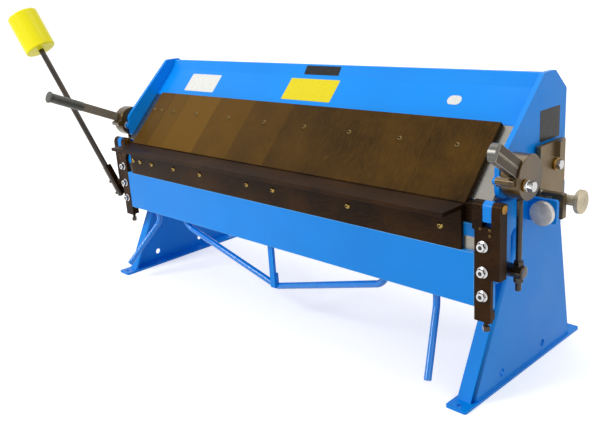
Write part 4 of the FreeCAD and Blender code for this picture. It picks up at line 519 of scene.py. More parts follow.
# Near-black painted shade for the insides of sockets, and for a small disc on the flanged bolts' heads.
SOCKET_DARK = MouldedRubber("socket_shadow", Slot.BLACK, (14, 11, 9))
PLAIN_WHITE = Sticker("blank_white", Slot.BRIGHT, (226, 226, 222))
PLAIN_YELLOW = Sticker("blank_yellow", Slot.YELLOW, (228, 210, 12))
PLAIN_BLACK = Sticker("blank_black", Slot.BLACK, (20, 19, 19))


# Shapes


def extruded(shape: BMesh, ring: Sequence[BMEdge], step: Vector) -> list[BMEdge]:
    """Extrude a ring of edges along a step.

    Args:
        shape: The mesh that holds the ring.
        ring: The edges to extrude.
        step: How far the new ring moves.

    Returns:
        The new ring's edges.
    """
    made = bmesh.ops.extrude_edge_only(shape, edges=list(ring))["geom"]
    bmesh.ops.translate(shape, vec=step, verts=[item for item in made if isinstance(item, BMVert)])
    return [item for item in made if isinstance(item, BMEdge)]


def closed(shape: BMesh) -> BMesh:
    """Fill a mesh's open rims and turn its faces outwards.

    Args:
        shape: The mesh to close.

    Returns:
        The same mesh.
    """
    rims = [edge for edge in shape.edges if edge.is_boundary]
    if rims:
        bmesh.ops.holes_fill(shape, edges=rims, sides=0)
    bmesh.ops.recalc_face_normals(shape, faces=shape.faces)
    return shape


def facing(axis: Vector, origin: Vector) -> Matrix:
    """Return the placement that puts Z along an axis at an origin."""
    return Matrix.Translation(origin) @ axis.to_track_quat("Z", "Y").to_matrix().to_4x4()


def spun(shape: BMesh, parts: Sequence[object], centre: Vector, axis: Vector, angle: float, steps: int,
         climb: float = 0.0, merge: bool = False) -> list[object]:
    """Spin a mesh's parts round an axis.

    Args:
        shape: The mesh.
        parts: Its vertices and edges that are spun.
        centre: A place on the axis.
        axis: The axis's direction.
        angle: The whole angle in radians.
        steps: Steps of the whole angle.
        climb: Rise along the axis at each step, in metres.
        merge: Whether the last step closes on the first.

    Returns:
        What the last step made.
    """
    return bmesh.ops.spin(shape, geom=parts, cent=centre, axis=axis, dvec=axis * climb, angle=angle,
                          steps=steps, use_merge=merge, use_normal_flip=False,
                          use_duplicate=False)["geom_last"]


def bevelled(shape: BMesh, edges: Sequence[BMEdge], width: float, segments: int = 2,
             clamp: bool = False) -> list[BMFace]:
    """Bevel a shape's edges.

    Args:
        shape: The shape.
        edges: The edges to bevel.
        width: Size of the bevel in millimetres.
        segments: Steps of the bevel.
        clamp: Whether bevels stop where they would meet.

    Returns:
        The bevel's faces.
    """
    return bmesh.ops.bevel(shape, geom=edges, offset=width * MM, offset_type="OFFSET", affect="EDGES",
                           segments=segments, profile=0.5, material=-1, clamp_overlap=clamp)["faces"]


def rounded_rim(radius: float, edge: float) -> list[tuple[float, float]]:
    """Work out the quarter round of a turned rim.

    Args:
        radius: Radius of the turned shape in millimetres.
        edge: Radius of the rounding.

    Returns:
        (radius, distance in from the end) from the end face outwards.
    """
    quarter = [step * math.pi / 12 for step in range(7)]
    return [(radius - edge + edge * math.sin(angle), edge - edge * math.cos(angle)) for angle in quarter]


def turned(origin: Vector, axis: Vector, profile: Sequence[tuple[float, float]],
           steps: int = ROUND_STEPS) -> BMesh:
    """Spin a profile round an axis.

    Args:
        origin: The axis's starting place.
        axis: The axis's direction.
        profile: (radius, distance along the axis) in millimetres.
        steps: Steps of the full turn.

    Returns:
        The closed turned shape.
    """
    shape = bmesh.new()
    frame_of_axis = facing(axis, origin)
    points = [shape.verts.new(frame_of_axis @ Vector((radius * MM, 0.0, along * MM)))
              for radius, along in profile]
    for before, after in zip(points, points[1:]):
        shape.edges.new((before, after))
    spun(shape, shape.verts[:] + shape.edges[:], origin, axis, math.tau, steps, merge=True)
    bmesh.ops.remove_doubles(shape, verts=shape.verts, dist=WELD_DISTANCE)
    return closed(shape)


def rod(start: Vector, end: Vector, radius: float, edge: float = 0.5, steps: int = ROUND_STEPS) -> BMesh:
    """Make a round bar with chamfered rims.

    Args:
        start: Centre of one end.
        end: Centre of the other end.
        radius: Radius in millimetres.
        edge: Size of the chamfers in millimetres.
        steps: Sides of the bar.

    Returns:
        The bar.
    """
    length = (end - start).length / MM
    return turned(start, (end - start).normalized(), [
        (0.0, 0.0), (radius - edge, 0.0), (radius, edge),
        (radius, length - edge), (radius - edge, length), (0.0, length),
    ], steps)


def flatted(shape: BMesh, origin: Vector, axis: Vector, flats: float, sides: int, top: float) -> BMesh:
    """Press a turned head's vertices in to a polygon's flats.

    Args:
        shape: The turned head.
        origin: A place on its axis.
        axis: Its axis.
        flats: Distance across the flats in millimetres.
        sides: Number of flats.
        top: Height up to which the flats reach, in millimetres.

    Returns:
        The same mesh.
    """
    to_axis = facing(axis, origin).inverted()
    back = to_axis.inverted()
    pitch = math.tau / sides
    for vert in shape.verts:
        local = to_axis @ vert.co
        reach = math.hypot(local.x, local.y)
        if reach < MERGE_DISTANCE or local.z > (top + 0.01) * MM:
            continue
        angle = math.atan2(local.y, local.x) % pitch - pitch / 2
        limit = flats / 2 * MM / math.cos(angle)
        if reach > limit:
            local.xy = local.xy * (limit / reach)
            vert.co = back @ local
    return shape


def hex_head(origin: Vector, axis: Vector, flats: float, height: float, sides: int = 6,
             chamfer: float = 1.4) -> BMesh:
    """Make a bolt head or nut with a turned chamfer on its flats.

    Args:
        origin: Centre of the seat.
        axis: Direction from the seat to the top.
        flats: Distance across the flats in millimetres.
        height: Height in millimetres.
        sides: Number of flats.
        chamfer: Height of the chamfer in millimetres.

    Returns:
        The head.
    """
    corner = flats / 2 / math.cos(math.pi / sides)
    shape = turned(origin, axis, [
        (0.0, 0.0), (corner - 0.6, 0.0), (corner, 0.5), (corner, height - chamfer),
        (flats / 2 * 0.985, height - 0.15), (flats / 2 * 0.94, height), (0.0, height),
    ])
    return flatted(shape, origin, axis, flats, sides, height - chamfer)


def button_head(origin: Vector, axis: Vector, radius: float, height: float, socket: float) -> BMesh:
    """Make a button head with a hexagon socket, whose inside has material index 1.

    Args:
        origin: Centre of the seat.
        axis: Direction from the seat to the top.
        radius: Radius of the head in millimetres.
        height: Height of the dome in millimetres.
        socket: Distance across the socket's flats in millimetres.

    Returns:
        The head.
    """
    ball = (radius ** 2 + height ** 2) / (2 * height)
    mouth = socket / 2 / math.cos(math.pi / 6) + 0.25
    start = math.asin(radius / ball)
    end = math.asin(mouth / ball)
    dome = [(0.0, -0.5), (radius, -0.5)]
    for index in range(8):
        angle = start + (end - start) * index / 7
        dome.append((ball * math.sin(angle), height - ball + ball * math.cos(angle)))
    top = dome[-1][1]
    floor = top - socket * 0.5
    dome += [(mouth - 0.2, top - 0.2), (mouth - 0.2, floor), (0.0, floor)]
    shape = turned(origin, axis, dome, 24)
    to_axis = facing(axis, origin).inverted()
    back = to_axis.inverted()
    for vert in shape.verts:
        local = to_axis @ vert.co
        reach = math.hypot(local.x, local.y)
        if MERGE_DISTANCE < reach < (mouth - 0.1) * MM:
            angle = math.atan2(local.y, local.x) % (math.pi / 3) - math.pi / 6
            local.xy = local.xy * (socket / 2 * MM / math.cos(angle) / reach)
            vert.co = back @ local
    for face in shape.faces:
        middle = to_axis @ face.calc_center_median()
        if math.hypot(middle.x, middle.y) < socket * 0.56 * MM and middle.z > 0:
            face.material_index = 1
    return shape


def threaded(start: Vector, end: Vector, radius: float, pitch: float, steps: int = 20) -> BMesh:
    """Make a threaded rod: a helical ridge on a core.

    Args:
        start: Centre of one end.
        end: Centre of the other end.
        radius: Outer radius in millimetres.
        pitch: Pitch in millimetres.
        steps: Steps of each turn.

    Returns:
        The threaded rod.
    """
    axis = (end - start).normalized()
    root = radius - 0.55 * pitch
    shape = rod(start, end, root + 0.05, 0.4, 24)
    turns = max(1, int((end - start).length / MM / pitch) - 1)
    frame_of_axis = facing(axis, start)
    ridge = [shape.verts.new(frame_of_axis @ Vector((reach * MM, 0.0, along * MM)))
             for reach, along in ((root, 0.0), (radius, 0.42 * pitch), (radius, 0.58 * pitch),
                                  (root, pitch))]
    edges = [shape.edges.new(pair) for pair in zip(ridge, ridge[1:])]
    spun(shape, ridge + edges, start, axis, math.tau * turns, steps * turns, climb=pitch * MM / steps)
    bmesh.ops.remove_doubles(shape, verts=shape.verts, dist=WELD_DISTANCE)
    bmesh.ops.recalc_face_normals(shape, faces=shape.faces)
    return shape


def bent_rod(points: Sequence[Vector], radius: float, bend: float) -> BMesh:
    """Make a round bar along straight runs joined by bends.

    Args:
        points: Ends and corners of the runs, in metres.
        radius: Radius of the bar in millimetres.
        bend: Radius of its bends in millimetres.

    Returns:
        The bar.
    """
    shape = bmesh.new()
    bmesh.ops.create_circle(shape, segments=ROD_SIDES, radius=radius * MM, cap_ends=False,
                            matrix=facing((points[1] - points[0]).normalized(), points[0]))
    ring = list(shape.edges)
    head = points[0]
    for before, corner, after in zip(points, points[1:], points[2:]):
        way_in = (corner - before).normalized()
        way_out = (after - corner).normalized()
        turn = way_in.angle(way_out)
        reach = bend * MM * math.tan(turn / 2)
        axis = way_in.cross(way_out).normalized()
        entry = corner - way_in * reach
        ring = extruded(shape, ring, entry - head)
        corners = list({vert for edge in ring for vert in edge.verts})
        centre = entry + axis.cross(way_in) * bend * MM
        made = spun(shape, corners + ring, centre, axis, turn, 12)
        ring = [item for item in made if isinstance(item, BMEdge)]
        head = corner + way_out * reach
    extruded(shape, ring, points[-1] - head)
    closed(shape)
    caps = [face for face in shape.faces if len(face.verts) == ROD_SIDES]
    rims = list({edge for face in caps for edge in face.edges})
    bevelled(shape, rims, radius * 0.25)
    return shape


def weld_bead(start: Vector, end: Vector, radius: float) -> BMesh:
    """Make a rippled weld bead along a straight seam.

    Args:
        start: One end of the seam.
        end: The other end.
        radius: Radius of the bead in millimetres.

    Returns:
        The bead.
    """
    shape = bmesh.new()
    axis = end - start
    ripples = max(2, round(axis.length / (radius * 0.8 * MM)))
    step = axis / (2 * ripples)
    bmesh.ops.create_circle(shape, segments=8, radius=radius * 0.3 * MM, cap_ends=False,
                            matrix=facing(axis.normalized(), start))
    ring = list(shape.edges)
    size = 0.3
    for index in range(1, 2 * ripples + 1):
        ring = extruded(shape, ring, step)
        wanted = 0.3 if index == 2 * ripples else (1.0 if index % 2 else 0.86)
        centre = start + step * index
        verts = list({vert for edge in ring for vert in edge.verts})
        bmesh.ops.scale(shape, vec=Vector((1.0, 1.0, 1.0)) * (wanted / size),
                        space=Matrix.Translation(-centre), verts=verts)
        size = wanted
    return closed(shape)


def plate(centre: Vector, right: Vector, up: Vector, size: tuple[float, float, float], corner: float,
          edge: float = 0.0) -> BMesh:
    """Make a flat plate with rounded corners.

    Args:
        centre: Centre of the plate.
        right: Direction of its width.
        up: Direction of its height.
        size: Width, height and thickness in millimetres.
        corner: Radius of its corners in millimetres.
        edge: Size of the bevel round its front face.

    Returns:
        The plate.
    """
    shape = bmesh.new()
    normal = right.cross(up).normalized()
    basis = Matrix((right, up, normal)).transposed().to_4x4()
    scale = Matrix.Diagonal((*(value * MM for value in size), 1.0))
    bmesh.ops.create_cube(shape, size=1.0, matrix=Matrix.Translation(centre) @ basis @ scale)
    upright = [item for item in shape.edges
               if abs((item.verts[0].co - item.verts[1].co).normalized().dot(normal)) > 0.9]
    bevelled(shape, upright, corner, segments=5)
    if edge:
        rims = [item for item in shape.edges
                if any(face.normal.dot(normal) > 0.99 for face in item.link_faces)]
        bevelled(shape, rims, edge)
    bmesh.ops.recalc_face_normals(shape, faces=shape.faces)
    return shape


def cad_shape(node: str) -> BMesh:
    """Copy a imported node's mesh, merged and with its flat faces whole.

    Args:
        node: Name of the node.

    Returns:
        The copy.
    """
    shape = bmesh.new()
    shape.from_mesh(frame["nodes"][node].data)
    bmesh.ops.remove_doubles(shape, verts=shape.verts, dist=MERGE_DISTANCE)
    bmesh.ops.dissolve_limit(shape, angle_limit=math.radians(0.4), verts=shape.verts[:],
                             edges=shape.edges[:], use_dissolve_boundaries=False, delimit=set())
    for face in shape.faces:
        face.material_index = 0
    return shape


def softened(shape: BMesh, width: float, edge_wear_and_highlight: bool = False, angle: float = 30.0, segments: int = 2,
             along: Vector | None = None) -> BMesh:
    """Round a shape's sharp straight edges.

    Args:
        shape: The shape.
        width: Size of the rounding in millimetres.
        edge_wear_and_highlight: Whether the rounding gets material index 1, which takes an edge-wear finish
            on black and grey parts and a painted edge highlight on blue ones.
        angle: Smallest angle of an edge that is rounded, in degrees.
        segments: Steps of the rounding.
        along: Direction of the edges that are rounded, or none for all of them.

    Returns:
        The same mesh.
    """
    limit = math.radians(angle)
    edges = [edge for edge in shape.edges
             if edge.is_manifold and edge.calc_length() > 3 * width * MM and edge.calc_face_angle() > limit]
    if along is not None:
        edges = [edge for edge in edges
                 if abs((edge.verts[1].co - edge.verts[0].co).normalized().dot(along)) > 0.999]
    rounding = bevelled(shape, edges, width, segments, clamp=True)
    if edge_wear_and_highlight:
        for face in rounding:
            face.material_index = 1
    return shape


class Piece:
    """One visible piece while it is made."""

    def __init__(self, name: str, body: str, *leading: Finish) -> None:
        """Start an empty piece.

        Args:
            name: The piece's name.
            body: The body that it rides on.
            leading: Finishes listed ahead of the shapes' own, so that the first of them is the object's
                first material.
        """
        self.name = name
        self.body = body
        self.shape = bmesh.new()
        self.finishes: list[Finish] = list(leading)

    def _index(self, finish: Finish) -> int:
        """Return the material index of a finish on this piece."""
        if finish not in self.finishes:
            self.finishes.append(finish)
        return self.finishes.index(finish)

    def add(self, shape: BMesh, *finishes: Finish) -> "Piece":
        """Add a shape.

        Args:
            shape: The shape, which is used up.
            finishes: The finish for each of its material indices.

        Returns:
            This piece.
        """
        self._index(finishes[0])  # The main finish comes first, in whatever order the faces are.
        for face in shape.faces:
            face.smooth = True
            face.material_index = self._index(finishes[min(face.material_index, len(finishes) - 1)])
        scratch = bpy.data.meshes.new("scratch")
        shape.to_mesh(scratch)
        shape.free()
        self.shape.from_mesh(scratch)
        bpy.data.meshes.remove(scratch)
        return self

    def done(self, *replaced: str, sharp: float = 38.0) -> bpy.types.Object:
        """Make the piece's object.

        Args:
            replaced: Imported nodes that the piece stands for.
            sharp: Angle in degrees above which an edge is shaded sharp.

        Returns:
            The object, riding on its body.
        """
        mesh = bpy.data.meshes.new(self.name)
        self.shape.to_mesh(mesh)
        self.shape.free()
        mesh.set_sharp_from_angle(angle=math.radians(sharp))
        for finish in self.finishes:
            mesh.materials.append(finish.material())
        thing = bpy.data.objects.new(self.name, mesh)
        bpy.context.scene.collection.objects.link(thing)
        weighted = thing.modifiers.new("even_shading", "WEIGHTED_NORMAL")
        weighted.keep_sharp = True
        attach(thing, self.body)
        if replaced:
            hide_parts(*replaced)
        log.info("%s rides on %s, %d faces", self.name, self.body, len(mesh.polygons))
        return thing


def body_of(node: str) -> str:
    """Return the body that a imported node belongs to."""
    return frame["nodes"][node]["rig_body"]


def dressed(node: str, width: float, *finishes: Finish, segments: int = 2) -> bpy.types.Object:
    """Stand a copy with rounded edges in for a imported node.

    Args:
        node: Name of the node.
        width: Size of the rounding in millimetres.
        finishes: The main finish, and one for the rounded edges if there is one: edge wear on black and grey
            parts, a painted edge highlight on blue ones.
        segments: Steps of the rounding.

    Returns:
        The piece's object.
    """
    piece = Piece("dressed_" + node, body_of(node))
    piece.add(softened(cad_shape(node), width, edge_wear_and_highlight=len(finishes) > 1, segments=segments), *finishes)
    return piece.done(node)


def lone(name: str, body: str, shape: BMesh, finish: Finish, replaced: str) -> None:
    """Make a piece of one shape.

    Args:
        name: The piece's name.
        body: The body that it rides on.
        shape: The shape.
        finish: Its finish.
        replaced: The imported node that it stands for.
    """
    Piece(name, body).add(shape, finish).done(replaced)


def add_button_screw(piece: Piece, seat: Vector, out: Vector, length: float, finish: Finish) -> None:
    """Add a button head screw to a piece.

    Args:
        piece: The piece.
        seat: Centre of the screw's seat.
        out: Direction from the seat to the head's top.
        length: Length of the shank in millimetres.
        finish: The screw's finish.
    """
    piece.add(button_head(seat, out, *BUTTON_HEAD), finish, SOCKET_DARK)
    piece.add(rod(seat, seat - out * length * MM, BUTTON_SHANK_RADIUS, 0.3, 20), finish)


# Sub-assemblies


@dataclass
class Base:
    """Legs, feet, bed, hinge arms and the small parts welded to them."""

    leg_x: float = 657.5
    foot_top: float = 6.35
    foot_seam: tuple[float, float] = (-30.0, 360.0)
    arm_underside: float = 362.0
    arm_seam: tuple[float, float] = (62.0, 124.0)
    lug_front: float = 125.0
    lug_seam: tuple[float, float] = (370.0, 405.0)

    def build(self) -> None:
        """Dress the base's nodes and lay its weld beads."""
        for side in LEFT_TO_RIGHT.values():
            dressed(side + "_leg", 2.0, BLUE, BLUE_EDGE_HIGHLIGHT)
            dressed(side + "_hinge_arm", 1.0, BLUE)
        dressed("foot_bars", 0.8, BLUE)
        dressed("bed", 0.9, BLUE, BLUE_EDGE_HIGHLIGHT)
        dressed("nose_bar", 0.6, OXIDE, WORN_OXIDE)
        dressed("screw_lugs", 0.8, BLUE)
        dressed("guide_pads", 0.6, BLUE)
        dressed("hinge_pins", 0.5, PLATED)
        self._welds()

    def _welds(self) -> None:
        """Lay the weld beads of the feet, hinge arms and lugs."""
        piece = Piece("base_welds", "base")
        foot_z = self.foot_top + 0.8
        for side in SIDES:
            foot_x = side * (self.leg_x + 0.6)
            x = side * (self.leg_x + 1.0)
            foot = [at(foot_x, y, foot_z) for y in self.foot_seam]
            arm = [at(x, y, self.arm_underside) for y in self.arm_seam]
            lug = [at(x, self.lug_front, z) for z in self.lug_seam]
            for seam, radius in ((foot, 2.4), (arm, 2.6), (lug, 2.0)):
                piece.add(weld_bead(*seam, radius), BLUE)
        piece.done()


@dataclass
class Apron:
    """Bending leaf: plate, bend bars, hinge forks, truss and pull handles."""

    face_y: float = -14.0
    shelf_y: float = -4.5
    back_y: float = 5.0
    bars: tuple[int, ...] = (1, 2, 3, 6, 12, 24)
    bar_bolt_z: float = 369.6
    bar_bolts: tuple[float, ...] = (0.5, 2.0, 4.5, 9.0, 14.0, 22.0, 26.0, 36.0, 46.0)
    fork_x: float = 659.8
    fork_bolt_zs: tuple[float, ...] = (344.6, 290.5, 239.7)
    fork_bolt_flats: float = 17.0
    fork_bolt_head: float = 8.0
    fork_foot_z: float = 183.0
    adjuster_head: float = 11.0
    adjuster_thread: float = 42.4
    truss_x: float = 391.0
    truss_radius: float = 9.0
    pull_x: float = 529.0
    pull_radius: float = 8.3

    def build(self) -> None:
        """Dress the leaf and everything that swings with it."""
        dressed("apron_plate", 1.6, BLUE, BLUE_EDGE_HIGHLIGHT)
        for inches in self.bars:
            dressed(f"bend_bar_{inches}in", 0.7, OXIDE, WORN_OXIDE)
        self._bar_screws()
        self._bare_ends()
        self._forks()
        self._adjusters()
        self._round_bars()

    def _bar_screws(self) -> None:
        """Make the button head screws of the bend bars."""
        # These screws take the sockets' black as their first material, although their heads are zinc.
        piece = Piece("bar_screws", "apron", SOCKET_DARK)
        for inches in self.bar_bolts:
            seat = at(inches * INCH - BEND_LENGTH / 2, self.face_y, self.bar_bolt_z)
            add_button_screw(piece, seat, -Y_AXIS, self.back_y - self.face_y, YELLOW_ZINC)
        piece.done("bend_bar_screws")

    def _bare_ends(self) -> None:
        """Show bare metal on the leaf beside the forks, below the bend bars' ends."""
        piece = Piece("bare_strips", "apron")
        for side in SIDES:
            centre = at(side * 625.0, self.shelf_y - 0.1, 342.6)
            piece.add(plate(centre, X_AXIS, Z_AXIS, (29.0, 28.6, 0.3), 1.0), GROUND)
        piece.done()

    def _forks(self) -> None:
        """Dress the hinge forks with their bolts, bushes and set screws."""
        bolts = Piece("flanged_bolts", "apron")
        bushes = Piece("hinge_bush_faces", "apron")
        small = Piece("fork_set_screws", "apron")
        welds = Piece("fork_welds", "apron")
        for side, name in LEFT_TO_RIGHT.items():
            dressed(name + "_hinge_fork", 0.7, OXIDE, WORN_OXIDE)
            for z in self.fork_bolt_zs:
                self._flanged_bolt(bolts, at(side * self.fork_x, self.face_y, z))
            for start, end, length in ((678.3, side, 20.9), (656.7, -side, 23.1)):
                bushes.add(turned(at(side * start, 0.0, BEND_Z), X_AXIS * end, [
                    (0.0, 0.0), (9.2, 0.0), (9.2, length - 0.5), (8.7, length), (5.6, length),
                    (5.0, length - 0.9), (0.0, length - 0.9)]), BRASS)
            for x, z in ((652.6, 379.9), (674.4, 380.0), (674.4, 368.5)):
                head = button_head(at(side * x, self.face_y, z), -Y_AXIS, 3.2, 1.4, 2.6)
                small.add(head, OILED_ZINC, SOCKET_DARK)
            for start, end, radius in (((678.2, 283.0), (678.2, 380.0), 2.2),
                                       ((636.5, 384.4), (656.0, 384.4), 1.8)):
                seam = [at(side * x, self.shelf_y + 0.3, z) for x, z in (start, end)]
                welds.add(weld_bead(*seam, radius), OXIDE)
        bolts.done("fork_bolts")
        bushes.done("hinge_bushes")
        small.done()
        welds.done()

    def _flanged_bolt(self, bolts: Piece, seat: Vector) -> None:
        """Add one flanged hexagon bolt of a hinge fork.

        Args:
            bolts: The piece that takes the bolt.
            seat: Centre of the flange's seat.
        """
        bolts.add(turned(seat, -Y_AXIS, [
            (0.0, 0.0), (11.6, 0.0), (12.0, 0.5), (12.0, 1.6), (9.9, 2.9), (0.0, 2.9)]), PLATED)
        head_seat = seat - Y_AXIS * 2.5 * MM
        bolts.add(hex_head(head_seat, -Y_AXIS, self.fork_bolt_flats, self.fork_bolt_head), PLATED)
        bolts.add(rod(seat, seat + Y_AXIS * (self.back_y - self.face_y) * MM, 4.98, 0.3, 24), PLATED)
        # A thin near-black disc on the head's top: painted shade.
        bolts.add(turned(seat - Y_AXIS * 10.3 * MM, -Y_AXIS, [
            (0.0, 0.0), (4.4, 0.0), (4.4, 0.35), (0.0, 0.35)], 24), SOCKET_DARK)

    def _adjusters(self) -> None:
        """Make the square head screws under the forks."""
        for side, name in LEFT_TO_RIGHT.items():
            piece = Piece(name + "_adjuster", name + "_adjuster")
            head = at(side * self.fork_x, 0.25, self.fork_foot_z - 14.0)
            piece.add(hex_head(head, -Z_AXIS, 13.0, self.adjuster_head, sides=4, chamfer=1.2), LINK_OXIDE)
            top = head + Z_AXIS * self.adjuster_thread * MM
            piece.add(threaded(head - Z_AXIS * 0.5 * MM, top, 4.95, 1.5), LINK_OXIDE)
            piece.done(name + "_adjuster_screw")

    def _round_bars(self) -> None:
        """Bend the truss bar and the pull handles, and weld them to the leaf's back."""
        half = ((self.truss_x, 14.0, 252.0), (self.truss_x, 14.0, 190.0))
        truss = [at(-x, y, z) for x, y, z in half] + [at(0.0, 20.0, 84.0)]
        truss += [at(*point) for point in reversed(half)]
        lone("bent_truss_bar", "apron", bent_rod(truss, self.truss_radius, 45.0), ROUND_BLUE, "truss_bar")
        dressed("truss_post", 0.8, BLUE)
        rods = Piece("bent_pull_rods", "apron")
        welds = Piece("apron_welds", "apron")
        path = ((self.pull_x, 13.3, 250.0), (self.pull_x, 13.3, 176.0), (575.6, -88.0, 52.0))
        for side in SIDES:
            rods.add(bent_rod([at(side * x, y, z) for x, y, z in path], self.pull_radius, 40.0), ROUND_BLUE)
            for x, radius in ((self.truss_x, self.truss_radius), (self.pull_x, self.pull_radius)):
                for edge in SIDES:
                    seam_x = side * x + edge * radius * 0.75
                    seam = [at(seam_x, self.back_y + 1.6, z) for z in (213.0, 250.0)]
                    welds.add(weld_bead(*seam, 2.6), BLUE)
        for x in (-9.6, 9.6):
            welds.add(weld_bead(*(at(x, self.back_y + 7.0, z) for z in (86.0, 122.0)), 2.0), BLUE)
            for z in (239.0, 255.0):
                nut = hex_head(at(x * 1.25, self.back_y + 8.0, z), Y_AXIS, 8.0, 4.0, chamfer=0.8)
                welds.add(nut, PLATED)
        rods.done("pull_rods")
        welds.done()


@dataclass
class Counterweight:
    """Yellow weight on its rod, clamped in a channel on the left fork."""

    foot: tuple[float, float, float] = (-700.0, -11.8, 239.3)
    lean_out: float = math.radians(27.2)
    lean_forward: float = math.radians(8.4)
    start: float = 541.0
    end: float = 669.0
    radius: float = 48.46
    edge: float = 5.0
    rod_radius: float = 9.0
    channel_face: float = 12.0
    channel_wall: float = 2.9
    screws_along: tuple[float, float] = (18.0, 60.0)
    seam_x: float = -698.4

    def build(self) -> None:
        """Make the rod, the weight, the channel and its clamp screws."""
        foot = at(*self.foot)
        level = math.cos(self.lean_forward)
        axis = Vector((-math.sin(self.lean_out) * level, -math.sin(self.lean_forward),
                       math.cos(self.lean_out) * level))
        outward = Vector((-math.cos(self.lean_out), 0.0, -math.sin(self.lean_out)))
        rod_end = self.start + 20.0
        rod_profile = [(0.0, 0.0), (4.5, 0.3), (6.8, 1.4), (8.4, 3.0), (self.rod_radius, 5.0),
                       (self.rod_radius, rod_end), (0.0, rod_end)]
        lone("weight_rod", "counterweight", turned(foot, axis, rod_profile), LINK_OXIDE, "counterweight_rod")
        rim = rounded_rim(self.radius, self.edge)
        profile = [(0.0, self.start)] + [(reach, self.start + rise) for reach, rise in rim]
        profile += [(reach, self.end - rise) for reach, rise in reversed(rim)] + [(0.0, self.end)]
        lone("round_weight", "counterweight", turned(foot, axis, profile, 96), YELLOW, "counterweight")
        dressed("counterweight_channel", 0.6, OXIDE, WORN_OXIDE)
        screws = Piece("clamp_screws", "apron")
        for along in self.screws_along:
            wall = foot + (axis * along + outward * self.channel_face) * MM
            inside = wall - outward * self.channel_wall * MM
            screws.add(rod(inside, wall + outward * 0.4 * MM, 3.95, 0.3, 20), LINK_OXIDE)
            screws.add(threaded(wall, wall + outward * 4.6 * MM, 3.95, 1.25), LINK_OXIDE)
            head = hex_head(wall + outward * 4.0 * MM, outward, 9.0, 7.0, sides=4, chamfer=1.0)
            screws.add(head, LINK_OXIDE)
        for z in (279.2, 292.4):
            screws.add(weld_bead(*(at(self.seam_x, y, z) for y in (-13.0, 5.0)), 2.0), OXIDE)
        screws.done("channel_screws")


